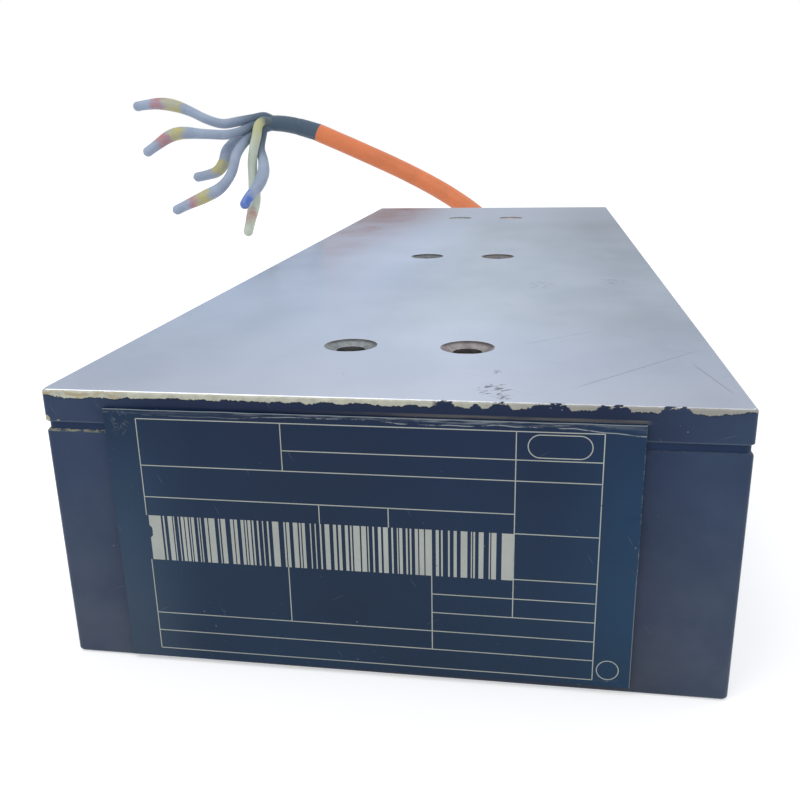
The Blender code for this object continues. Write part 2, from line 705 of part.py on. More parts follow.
def make_tie_rods():
    """Rods along X that hold the laminations between the clamps, with a round head at each end."""
    z = (TOOTH_ROOT_Z + YOKE_TOP_Z) / 2
    head_start = CORE_HALF_X + CLAMP_THICKNESS + 2 * CLEARANCE
    head_end = head_start + TIE_ROD_HEAD_LENGTH
    head, shank = TIE_ROD_HEAD_DIAMETER / 2, TIE_ROD_DIAMETER / 2
    dome = 0.7 * head
    half = [(shank, head_start), (head, head_start), (head, head_end - head + dome), (dome, head_end)]
    rows = [(r, -x, "round") for r, x in reversed(half)] + [(r, x, "round") for r, x in half]
    for i, y in enumerate(tie_rod_places(), start=1):
        rod = turned(f"core_tie_rod_{i}", rows, "zinc_steel", sides=12)
        rod.rotation_euler = (0, math.radians(90), 0)
        rod.location = (0, y, z)


def make_coils():
    """On each tooth an insulating frame with two flanges, and a coil wound in it."""
    hole_x = CORE_HALF_X + CLEARANCE
    hole_y = TOOTH_WIDTH / 2 + CLEARANCE
    body_x, body_y = hole_x + FRAME_WALL, hole_y + FRAME_WALL
    coil_x, coil_y = body_x + CLEARANCE, body_y + CLEARANCE
    rim_x, rim_y = coil_x + COIL_BUILD, coil_y + COIL_BUILD
    low = TOOTH_TIP_Z + COIL_TIP_SPACING
    high = TOOTH_ROOT_Z - CLEARANCE
    corner = FRAME_CORNER_RADIUS
    rim_corner = corner + CLEARANCE + COIL_BUILD
    frame_rows = [
        (hole_x, hole_y, CLEARANCE, low),
        (rim_x, rim_y, rim_corner, low),
        (rim_x, rim_y, rim_corner, low + FRAME_FLANGE),
        (body_x, body_y, corner, low + FRAME_FLANGE),
        (body_x, body_y, corner, high - FRAME_FLANGE),
        (rim_x, rim_y, rim_corner, high - FRAME_FLANGE),
        (rim_x, rim_y, rim_corner, high),
        (hole_x, hole_y, CLEARANCE, high),
    ]
    bottom = low + FRAME_FLANGE + CLEARANCE
    top = high - FRAME_FLANGE - CLEARANCE
    edge = COIL_EDGE_RADIUS
    coil_rows = [
        (coil_x, coil_y, corner + CLEARANCE, bottom),
        (rim_x - edge, rim_y - edge, rim_corner - edge, bottom),
        (rim_x, rim_y, rim_corner, bottom + edge),
        (rim_x, rim_y, rim_corner, top - edge),
        (rim_x - edge, rim_y - edge, rim_corner - edge, top),
        (coil_x, coil_y, corner + CLEARANCE, top),
    ]
    for i, y in enumerate(tooth_places()):
        coil_name = f"coil_{'uvw'[i % 3]}{i // 3 + 1}"
        for name, rows, finish in (
            (f"coil_frame_{i + 1}", frame_rows, "frame_plastic"),
            (coil_name, coil_rows, "copper"),
        ):
            loops = [rounded_loop(*row, (0.0, y), COIL_CORNER_STEPS) for row in rows]
            loft(name, loops, finish, hollow=True)


def make_cooling_tube():
    drop = port_drop()
    end = port_inner_end() + PORT_SOCKET_DEPTH
    left = [(-TUBE_OUTER_RUN, end, CONNECTION_HEIGHT)]
    left += [(-TUBE_OUTER_RUN, y, z) for y, z in reversed(drop)]
    right = [(-x, y, z) for x, y, z in reversed(left)]
    middle = [(x, y, TUBE_Z) for x, y in cooling_plan()]
    return even_tube("cooling_tube", left + middle + right, TUBE_DIAMETER, "copper")


def make_coolant_ports():
    """Threaded bushes, flush with the rear face, with a collar inside the wall."""
    wall = BODY_HALF_Y - CASING_WALL - CLEARANCE
    inner_end = port_inner_end()
    step = BODY_HALF_Y - PORT_BORE_DEPTH
    body, collar = PORT_DIAMETER / 2, PORT_COLLAR_DIAMETER / 2
    socket, bore = TUBE_DIAMETER / 2 + CLEARANCE, PORT_BORE_DIAMETER / 2
    outer = [
        (body, inner_end, "round"),
        (body, wall - PORT_COLLAR_LENGTH, "round"),
        (collar, wall - PORT_COLLAR_LENGTH, "round"),
        (collar, wall, "round"),
        (body, wall, "round"),
        (body, BODY_HALF_Y, "round"),
    ]
    inner = [
        (socket, inner_end, "round"),
        (socket, step, "round"),
        (bore, step, "round"),
        (bore, BODY_HALF_Y, "round"),
    ]
    for name, x in (("coolant_port_inlet", -TUBE_OUTER_RUN), ("coolant_port_outlet", TUBE_OUTER_RUN)):
        face_rearwards(turned(name, outer, "brass", inner), x, CONNECTION_HEIGHT)


def make_gland():
    """Body through the rear wall with a lock nut inside, sealing ring, and domed nut."""
    thread = GLAND_THREAD_DIAMETER / 2
    flats = GLAND_HEX / 2
    sleeve_end = GLAND_HEX_END_Y + GLAND_SLEEVE_LENGTH
    sleeve_bore = GLAND_SLEEVE_BORE_RADIUS
    outer = [
        (thread, GLAND_FACE_Y - GLAND_THREAD_LENGTH, "round"),
        (thread, GLAND_FACE_Y, "round"),
        (flats, GLAND_FACE_Y, "hex"),
        (flats, GLAND_HEX_END_Y, "hex"),
        (thread, GLAND_HEX_END_Y, "round"),
        (thread, sleeve_end, "round"),
    ]
    inner = [
        (CABLE_BORE_RADIUS, GLAND_FACE_Y - GLAND_THREAD_LENGTH, "round"),
        (CABLE_BORE_RADIUS, GLAND_HEX_END_Y, "round"),
        (sleeve_bore, GLAND_HEX_END_Y, "round"),
        (sleeve_bore, sleeve_end, "round"),
    ]
    face_rearwards(turned("gland_body", outer, "gland_nickel", inner), 0, CONNECTION_HEIGHT)

    nut_start = GLAND_HEX_END_Y + CLEARANCE
    nut_end = nut_start + GLAND_NUT_LENGTH
    mouth = CABLE_BORE_RADIUS + GLAND_NUT_MOUTH_WALL
    seal_end = sleeve_end + 2 * CLEARANCE
    outer = [
        (flats, nut_start, "hex"),
        (flats, nut_start + GLAND_NUT_HEX_LENGTH, "hex"),
        (0.96 * flats, nut_start + GLAND_NUT_HEX_LENGTH, "round"),
        (0.5 * (0.96 * flats + mouth), nut_end - 0.3 * (GLAND_NUT_LENGTH - GLAND_NUT_HEX_LENGTH), "round"),
        (mouth, nut_end, "round"),
    ]
    inner = [
        (thread + CLEARANCE, nut_start, "round"),
        (thread + CLEARANCE, seal_end, "round"),
        (CABLE_BORE_RADIUS, seal_end + thread - CABLE_BORE_RADIUS, "round"),
        (CABLE_BORE_RADIUS, nut_end, "round"),
    ]
    face_rearwards(turned("gland_nut", outer, "gland_nickel", inner), 0, CONNECTION_HEIGHT)

    ring = sleeve_bore - CLEARANCE
    start = GLAND_HEX_END_Y + CLEARANCE
    outer = [(ring, start, "round"), (ring, sleeve_end, "round")]
    inner = [(CABLE_BORE_RADIUS, start, "round"), (CABLE_BORE_RADIUS, sleeve_end, "round")]
    face_rearwards(turned("gland_seal", outer, "seal_rubber", inner), 0, CONNECTION_HEIGHT)

    wall = CHAMBER_HALF_Y - CLEARANCE
    outer = [(flats, wall - LOCK_NUT_LENGTH, "hex"), (flats, wall, "hex")]
    inner = [(thread + CLEARANCE, wall - LOCK_NUT_LENGTH, "round"), (thread + CLEARANCE, wall, "round")]
    face_rearwards(turned("gland_lock_nut", outer, "gland_nickel", inner), 0, CONNECTION_HEIGHT)


def make_cable():
    """Jacket from inside the rear chamber to its cut end, the dark sleeve, and the leads."""
    mouth = GLAND_HEX_END_Y + GLAND_NUT_LENGTH
    middle = (CABLE_INNER_Y + mouth) / 2
    straight = [(0.0, y, CONNECTION_HEIGHT) for y in (CABLE_INNER_Y, middle, mouth)]
    points = smooth_path(straight + CABLE_ROUTE, 0.5 * CABLE_DIAMETER)
    even_tube("cable_jacket", points, CABLE_DIAMETER, "jacket_orange")

    points = smooth_path(SLEEVE_ROUTE, 0.4 * CABLE_DIAMETER)
    last = len(points) - 1
    start_radius, end_radius = CABLE_DIAMETER / 2, SLEEVE_END_DIAMETER / 2
    radii = [start_radius + (end_radius - start_radius) * i / last for i in range(last + 1)]
    tube("cable_sleeve", points, radii, "sleeve_dark")

    names = ["lead_1", "lead_2", "lead_3", "lead_4", "lead_earth", "lead_sensor"]
    for name, route in zip(names, LEAD_ROUTES):
        points = smooth_path(route, LEAD_DIAMETER)
        spacing = (points[1] - points[0]).length
        length = spacing * (len(points) - 1)
        radii = [lead_diameter(spacing * i, length) / 2 for i in range(len(points) - 1)]
        radii.append(LEAD_TIP_SHARE * lead_diameter(length, length) / 2)
        tube(name, points, radii, "lead_earth" if name == "lead_earth" else "lead_grey")


def lead_diameter(along, length):
    """Thin in the bunch at the root, and thickest under the coloured marks near the tip."""
    swell = min(1.0, along / LEAD_SWELL_LENGTH)
    away = min(1.0, abs(length - along - LEAD_MARK_FROM_TIP) / LEAD_MARK_HALF_LENGTH)
    mark = (1 + math.cos(math.pi * away)) / 2
    diameter = LEAD_ROOT_DIAMETER + (LEAD_DIAMETER - LEAD_ROOT_DIAMETER) * swell
    return diameter + (LEAD_MARK_DIAMETER - LEAD_DIAMETER) * mark


def make_potting():
    """Cast resin: a full block in front of the core, and a floor under the connection board."""
    half_x = CHAMBER_HALF_X - CLEARANCE
    near = CORE_HALF_Y + CLEARANCE
    half_y = (CHAMBER_HALF_Y - CLEARANCE - near) / 2
    centre_y = near + half_y
    floor = SHOULDER_TOP_Z + CLEARANCE
    for name, y, top in (
        ("potting_front", -centre_y, YOKE_TOP_Z),
        ("potting_rear", centre_y, floor + REAR_POTTING_HEIGHT),
    ):
        loops = [rounded_loop(half_x, half_y, CHAMBER_RADIUS, z, (0.0, y)) for z in (floor, top)]
        loft(name, loops, "potting_resin")


def make_connection_board():
    """The board under the cable's end, with three phase terminals, an earth one and the star bar."""
    low = BOARD_TOP_Z - BOARD_THICKNESS
    half_x, half_y = BOARD_WIDTH / 2, BOARD_LENGTH / 2
    loops = [rounded_loop(half_x, half_y, half_y / 4, z, (0.0, TERMINAL_Y)) for z in (low, BOARD_TOP_Z)]
    loft("connection_board", loops, "board_laminate")

    base = BOARD_TOP_Z + CLEARANCE
    nut_top = base + TERMINAL_HEX_HEIGHT
    stud = TERMINAL_STUD_DIAMETER / 2
    rows = [
        (TERMINAL_HEX / 2, base, "hex"),
        (TERMINAL_HEX / 2, nut_top, "hex"),
        (stud, nut_top, "round"),
        (stud, nut_top + TERMINAL_STUD_HEIGHT, "round"),
    ]
    for name, place in zip("uvw", (-1.5, -0.5, 0.5)):
        terminal = turned("terminal_" + name, rows, "brass", sides=12)
        terminal.location = (place * TERMINAL_SPACING, TERMINAL_Y, 0)

    half_x, half_y = STAR_BAR_LENGTH / 2, STAR_BAR_WIDTH / 2
    centre = (1.5 * TERMINAL_SPACING + half_x, TERMINAL_Y)
    loops = [
        rounded_loop(half_x, half_y, half_y / 2, z, centre) for z in (base, base + STAR_BAR_THICKNESS)
    ]
    loft("star_point_bar", loops, "copper")


def make_inner_leads():
    """Short leads inside the rear chamber, from the cable's end to the terminals and the earth screw."""
    top = BOARD_TOP_Z + 2 * CLEARANCE + TERMINAL_HEX_HEIGHT + TERMINAL_STUD_HEIGHT
    top += INNER_LEAD_DIAMETER / 2
    ring = INNER_LEAD_RING_RADIUS
    away = CABLE_INNER_Y - CLEARANCE
    height = CONNECTION_HEIGHT
    screw_x, screw_y = earth_screw_place()
    screw_z = PLATE_UNDER_Z - 2 * CLEARANCE - EARTH_SCREW_HEAD_HEIGHT - INNER_LEAD_DIAMETER / 2
    ends = {
        "inner_lead_u": ((-ring, -ring), (-1.5 * TERMINAL_SPACING, TERMINAL_Y, top)),
        "inner_lead_v": ((0.0, -ring * 1.2), (-0.5 * TERMINAL_SPACING, TERMINAL_Y, top)),
        "inner_lead_w": ((ring, -ring), (0.5 * TERMINAL_SPACING, TERMINAL_Y, top)),
        "inner_lead_earth": ((ring, ring), (screw_x, screw_y, screw_z)),
    }
    for name, ((dx, dz), goal) in ends.items():
        start = Vector((dx, away, height + dz))
        goal = Vector(goal)
        first = start - Vector((0, INNER_LEAD_DIAMETER, 0))
        middle = (first + goal) / 2
        middle.z = (2 * first.z + goal.z) / 3
        points = smooth_path([start, first, middle, goal], 1.5 * INNER_LEAD_DIAMETER)
        even_tube(name, points, INNER_LEAD_DIAMETER, "lead_earth" if "earth" in name else "seal_rubber")


def earth_screw_place():
    return TUBE_INNER_RUN, BODY_HALF_Y - CASING_WALL - EARTH_SCREW_FROM_REAR


def make_earth_screw():
    """The earth screw, up into the mounting plate's underside."""
    x, y = earth_screw_place()
    head, shank = EARTH_SCREW_HEAD_DIAMETER / 2, EARTH_SCREW_SHANK_DIAMETER / 2
    seat = -CLEARANCE
    rows = [
        (0.8 * head, seat - EARTH_SCREW_HEAD_HEIGHT, "round"),
        (head, seat - EARTH_SCREW_HEAD_HEIGHT / 2, "round"),
        (head, seat, "round"),
        (shank, seat, "round"),
        (shank, EARTH_SCREW_SHANK_LENGTH - CLEARANCE, "round"),
    ]
    screw = turned("earth_screw", rows, "zinc_steel", sides=12)
    screw.location = (x, y, PLATE_UNDER_Z)


def make_temperature_sensor():
    """A bead on top of the middle coil's end turn, beside the core clamp."""
    radius = SENSOR_DIAMETER / 2
    half = SENSOR_LENGTH / 2
    bevel = radius / 2
    rows = [
        (radius - bevel, -half, "round"),
        (radius, bevel - half, "round"),
        (radius, half - bevel, "round"),
        (radius - bevel, half, "round"),
    ]
    sensor = turned("temperature_sensor", rows, "seal_rubber", sides=12)
    beside_clamp = CORE_HALF_X + CLAMP_THICKNESS + 2 * CLEARANCE + radius
    face_rearwards(sensor, beside_clamp, TOOTH_ROOT_Z + radius)


def make_rating_plate():
    """The bare foil on the front face."""
    back = -BODY_HALF_Y - CLEARANCE
    half_x, half_z = RATING_PLATE_WIDTH / 2, RATING_PLATE_HEIGHT / 2
    loops = [
        rounded_loop(half_x, half_z, 2 * CLEARANCE, along) for along in (0.0, RATING_PLATE_THICKNESS)
    ]
    plate = loft("rating_plate", loops, "label_foil")
    plate.rotation_euler = (math.radians(90), 0, 0)
    plate.location = (RATING_PLATE_OFFSET_X, back, RATING_PLATE_BOTTOM + half_z)


def main():
    clear_scene()
    make_casing()
    make_face_sheet()
    make_mounting_plate()
    make_gasket()
    make_core()
    make_tie_rods()
    make_coils()
    make_cooling_tube()
    make_coolant_ports()
    make_gland()
    make_cable()
    make_potting()
    make_connection_board()
    make_inner_leads()
    make_earth_screw()
    make_temperature_sensor()
    make_rating_plate()


main()
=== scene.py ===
"""Looks of a linear motor's primary part: worn metal and paint, rating plate, threads and its cable.

Metres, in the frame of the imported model: +Z up, the rating plate's end looks along -Y, and the cable
leaves at the +Y end.
"""

import math
import random

import bmesh
import bpy
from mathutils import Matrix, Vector, noise


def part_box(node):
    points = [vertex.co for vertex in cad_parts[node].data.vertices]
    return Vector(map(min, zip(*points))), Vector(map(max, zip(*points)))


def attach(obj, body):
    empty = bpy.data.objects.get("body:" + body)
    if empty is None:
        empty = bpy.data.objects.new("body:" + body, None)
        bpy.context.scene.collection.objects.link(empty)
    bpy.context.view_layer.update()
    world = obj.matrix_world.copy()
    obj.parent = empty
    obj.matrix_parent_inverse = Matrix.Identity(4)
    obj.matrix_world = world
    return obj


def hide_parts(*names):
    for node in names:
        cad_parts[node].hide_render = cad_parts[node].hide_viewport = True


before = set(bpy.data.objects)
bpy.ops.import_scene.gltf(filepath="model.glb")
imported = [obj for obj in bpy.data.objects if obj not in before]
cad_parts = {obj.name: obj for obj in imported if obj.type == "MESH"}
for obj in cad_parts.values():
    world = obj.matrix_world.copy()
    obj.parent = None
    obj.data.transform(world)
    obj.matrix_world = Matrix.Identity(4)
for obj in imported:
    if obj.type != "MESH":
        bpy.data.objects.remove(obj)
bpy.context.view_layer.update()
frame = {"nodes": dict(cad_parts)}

MM = 0.001

# Camera at the photograph's place
CAMERA_PLACE = (0.02135, -0.25368, 0.07959)
CAMERA_TURN = (72.436, 1.110, 8.900)
CAMERA_LENS = 38.98

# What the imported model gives
PLATE_LOW, PLATE_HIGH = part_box("mounting_plate")
CASING_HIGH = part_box("casing")[1]
LABEL_LOW, LABEL_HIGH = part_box("rating_plate")
NUT_LOW, NUT_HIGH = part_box("gland_nut")
TOP, FRONT, REAR = PLATE_HIGH.z, PLATE_LOW.y, PLATE_HIGH.y

# Where the paint is worn along the front's top edge: all up to WORN_TO, then patches in millimetres
WORN_TO = 8.4 * MM
WORN_PATCHES = [(10.6, 13.2), (14.0, 15.6), (18.1, 21.1), (25.9, 29.6), (33.8, 37.8), (41.6, 50.0)]

# Smudges on the plate in millimetres, with their share; then long scratches from end to end
SMUDGES = [
    (15.8, -136.6, 6.2, 0.85),
    (17.2, -139.6, 3.4, 0.9),
    (15.8, -127.6, 2.0, 0.8),
    (-7.2, -130.6, 0.7, 0.9),
    (5.2, -129.0, 0.6, 0.8),
    (22.5, -52.9, 9.0, 0.35),
    (38.9, -46.8, 8.0, 0.35),
]
LONG_SCRATCHES = [
    ((25.5, -136.4), (48.2, -110.9), 0.55),
    ((44.9, -119.3), (48.3, -136.7), 0.60),
    ((18.7, -110.5), (32.6, -98.2), 0.35),
]

# Printed grid of the rating plate, millimetres from the part's middle and from its foot
GRID_LEFT, GRID_RIGHT = -35.3, 30.75
GRID_FOOT, GRID_HEAD = 2.3, 40.2
NAME_COLUMN, RATING_COLUMN, SIDE_COLUMN = -13.85, 7.45, 19.1
NAME_ROW, TYPE_ROW, SERIAL_ROW, RATING_ROW = 36.1, 33.0, 28.0, 11.7
HIGH_FOOT_ROW, LOW_FOOT_ROW = 8.6, 5.5
BARS_FOOT, BARS_HEAD, BARS_LEFT, BARS_RIGHT = 17.7, 25.0, -35.0, SIDE_COLUMN
# Its rows as height, left and right end, and its columns as place, foot and head
PRINT_ROWS = [
    *[(z, GRID_LEFT, GRID_RIGHT) for z in (GRID_HEAD, GRID_FOOT, TYPE_ROW, HIGH_FOOT_ROW, LOW_FOOT_ROW)],
    (NAME_ROW, NAME_COLUMN, GRID_RIGHT), (SERIAL_ROW, GRID_LEFT, SIDE_COLUMN),
    (25.05, SIDE_COLUMN, GRID_RIGHT), (17.9, SIDE_COLUMN, GRID_RIGHT),
    (14.75, RATING_COLUMN, GRID_RIGHT), (RATING_ROW, RATING_COLUMN, GRID_RIGHT),
]
PRINT_COLUMNS = [
    (GRID_LEFT, BARS_HEAD, GRID_HEAD), (GRID_LEFT, GRID_FOOT, BARS_FOOT),
    (GRID_RIGHT, GRID_FOOT, GRID_HEAD),
    (NAME_COLUMN, TYPE_ROW, GRID_HEAD), (NAME_COLUMN, HIGH_FOOT_ROW, BARS_FOOT),
    (SIDE_COLUMN, RATING_ROW, GRID_HEAD), (RATING_COLUMN, LOW_FOOT_ROW, BARS_FOOT),
    (-8.8, BARS_HEAD, SERIAL_ROW), (1.3, BARS_HEAD, SERIAL_ROW),
]
LINE_WIDTH = 0.145
FIELD_LEFT, FIELD_RIGHT, FIELD_FOOT, FIELD_HEAD = 20.7, 29.25, 36.5, 39.8
RING_PLACE, RING_RADIUS = (32.85, 4.07), 1.55
PRINT_LIFT = 0.03 * MM
LABEL_STEP = 0.45 * MM
# How much higher the foil's lower right corner sits than its lower left one
LABEL_TILT = 0.6 * MM
BLISTER_PLACE, BLISTER_REACH, BLISTER_LIFT = (36.4, 24.2), (4.3, 4.9), 0.35

# How far the sleeve reaches into the jacket's end, and the points' spacing on it and on the leads
SLEEVE_TUCK = 2.4 * MM
FINE_STEP = 0.7 * MM

# How far the soft gasket bulges out of its solid
GASKET_SWELL = 0.60 * MM

# Mounting holes in two columns and three rows, and the threads of holes and ports
HOLE_COLUMN, HOLE_PITCH, LAST_HOLE_Y = 10 * MM, 105 * MM, 97.5 * MM
HOLE_PLACES = [(side * HOLE_COLUMN, LAST_HOLE_Y - row * HOLE_PITCH)
               for row in range(3) for side in (-1, 1)]
HOLE_THREAD = {"radius": 2.5 * MM, "pitch": 1.0 * MM, "height": 0.30 * MM}
PORT_THREAD = {"radius": 5.9 * MM, "pitch": 1.337 * MM, "height": 0.45 * MM}

# Cable, as in the solids
CABLE_DIAMETER = 10.0 * MM
SLEEVE_END_DIAMETER = 8.6 * MM
LEAD_ROOT_DIAMETER = 4.8 * MM
LEAD_DIAMETER = 5.4 * MM
LEAD_SWELL_LENGTH = 18 * MM
LEAD_MARK_DIAMETER = 7.0 * MM
LEAD_MARK_FROM_TIP = 22 * MM
LEAD_MARK_HALF_LENGTH = 18 * MM
LEAD_START_IN_SLEEVE = 4 * MM
CONNECTION_HEIGHT = (NUT_LOW.z + NUT_HIGH.z) / 2
CABLE_INNER_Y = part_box("cable_jacket")[0].y

# Points that the jacket passes after it leaves the gland, up to its cut end
CABLE_ROUTE = [
    (0.0000, 0.1720, 0.0200), (0.0000, 0.1880, 0.0208), (-0.0020, 0.2055, 0.0236),
    (-0.0078, 0.2218, 0.0288), (-0.0186, 0.2347, 0.0359), (-0.0354, 0.2441, 0.0453),
    (-0.0570, 0.2503, 0.0557), (-0.0820, 0.2545, 0.0665), (-0.1060, 0.2560, 0.0767),
]

# Points that the dark sleeve passes, from the jacket's end on
SLEEVE_ROUTE = [
    (-0.1068, 0.2560, 0.0770), (-0.117, 0.2555, 0.0801), (-0.1255, 0.2545, 0.0819),
    (-0.134, 0.2525, 0.0826),
]

# Points that each lead passes, from the sleeve's end to its tip
LEAD_ROUTES = {
    "lead_1": [
        (-0.1349, 0.2523, 0.0856), (-0.1378, 0.2517, 0.0861), (-0.1433, 0.2513, 0.0851),
        (-0.1515, 0.2512, 0.0839), (-0.1615, 0.2510, 0.0827), (-0.1711, 0.2514, 0.0853),
        (-0.1814, 0.2523, 0.0900), (-0.1905, 0.2529, 0.0932), (-0.1996, 0.2529, 0.0946),
        (-0.2081, 0.2524, 0.0941), (-0.2158, 0.2518, 0.0930),
    ],
    "lead_2": [
        (-0.1351, 0.2523, 0.0827), (-0.1375, 0.2516, 0.0828), (-0.1425, 0.2495, 0.0812),
        (-0.1484, 0.2462, 0.0785), (-0.1565, 0.2429, 0.0767), (-0.1686, 0.2395, 0.0773),
        (-0.1801, 0.2358, 0.0781), (-0.1870, 0.2332, 0.0764), (-0.1938, 0.2295, 0.0717),
        (-0.2002, 0.2258, 0.0669),
    ],
    "lead_3": [
        (-0.1356, 0.2550, 0.0836), (-0.1385, 0.2549, 0.0834), (-0.1443, 0.2555, 0.0806),
        (-0.1523, 0.2550, 0.0757), (-0.1597, 0.2513, 0.0686), (-0.1614, 0.2479, 0.0613),
        (-0.1648, 0.2447, 0.0564), (-0.1710, 0.2415, 0.0543), (-0.1775, 0.2389, 0.0532),
    ],
    "lead_4": [
        (-0.1356, 0.2539, 0.0802), (-0.1379, 0.2530, 0.0794), (-0.1418, 0.2498, 0.0769),
        (-0.1463, 0.2442, 0.0729), (-0.1499, 0.2380, 0.0660), (-0.1520, 0.2322, 0.0557),
        (-0.1573, 0.2273, 0.0481), (-0.1652, 0.2231, 0.0437), (-0.1739, 0.2193, 0.0398),
        (-0.1819, 0.2157, 0.0360),
    ],
    "lead_earth": [
        (-0.1345, 0.2495, 0.0836), (-0.1362, 0.2485, 0.0837), (-0.1384, 0.2455, 0.0815),
        (-0.1391, 0.2426, 0.0756), (-0.1408, 0.2415, 0.0689), (-0.1420, 0.2407, 0.0604),
        (-0.1418, 0.2400, 0.0515), (-0.1408, 0.2366, 0.0405), (-0.1419, 0.2310, 0.0302),
        (-0.1430, 0.2258, 0.0214),
    ],
    "lead_sensor": [
        (-0.1350, 0.2505, 0.0803), (-0.1366, 0.2500, 0.0800), (-0.1376, 0.2486, 0.0760),
        (-0.1387, 0.2469, 0.0688), (-0.1361, 0.2427, 0.0622), (-0.1348, 0.2373, 0.0554),
        (-0.1364, 0.2303, 0.0484), (-0.1408, 0.2262, 0.0427), (-0.1438, 0.2233, 0.0370),
    ],
}

# Between these two a noise has most of its values
LOW_NOISE, HIGH_NOISE = 0.3, 0.7

# Colours, linear
METAL = (0.73, 0.75, 0.81)
METAL_GRAZING = (0.44, 0.515, 0.635)
# Painted reflection: other grazing tints for the top's right side and its rear
PAINTED_REFLECTION_RIGHT = (0.44, 0.497, 0.570)
PAINTED_REFLECTION_REAR = (0.435, 0.490, 0.585)
PRIMER = (0.56, 0.555, 0.45)
WORN_STEEL = (0.23, 0.225, 0.165)
NAVY = (0.012, 0.0235, 0.062)
PAINT_HAZE = (0.20, 0.31, 0.48)
# Painted reflection of the floor on the paint's lower part
PAINT_FLOOR_REFLECTION = (0.30, 0.28, 0.22)
FOIL_NAVY = (0.003, 0.018, 0.056)
PRINT_GREY = (0.45, 0.47, 0.43)
ORANGE = (0.75, 0.21, 0.075)
SLEEVE_BLUE = (0.055, 0.095, 0.145)
LEAD_GREY = (0.325, 0.39, 0.51)
MARK_YELLOW = (0.55, 0.48, 0.13)
MARK_RED = (0.52, 0.17, 0.15)
MARK_BLUE = (0.07, 0.17, 0.60)
EARTH_GREEN = (0.55, 0.615, 0.51)
EARTH_YELLOW = (0.50, 0.50, 0.24)

# Coloured marks of each lead: colour, start and end as millimetres from the tip, and strength
LEAD_MARKS = {
    "lead_1": [(MARK_RED, 12, 19, 0.70), (MARK_YELLOW, 21, 30, 0.75)],
    "lead_2": [(MARK_RED, 11, 16, 0.80), (MARK_YELLOW, 18, 25, 0.85)],
    "lead_3": [(MARK_YELLOW, 12, 21, 0.80)],
    "lead_4": [(MARK_RED, 10, 15, 0.70), (MARK_YELLOW, 15.5, 22, 0.85)],
    "lead_earth": [(MARK_RED, 10, 14, 0.65)],
    "lead_sensor": [(MARK_BLUE, -2, 8, 0.90)],
}


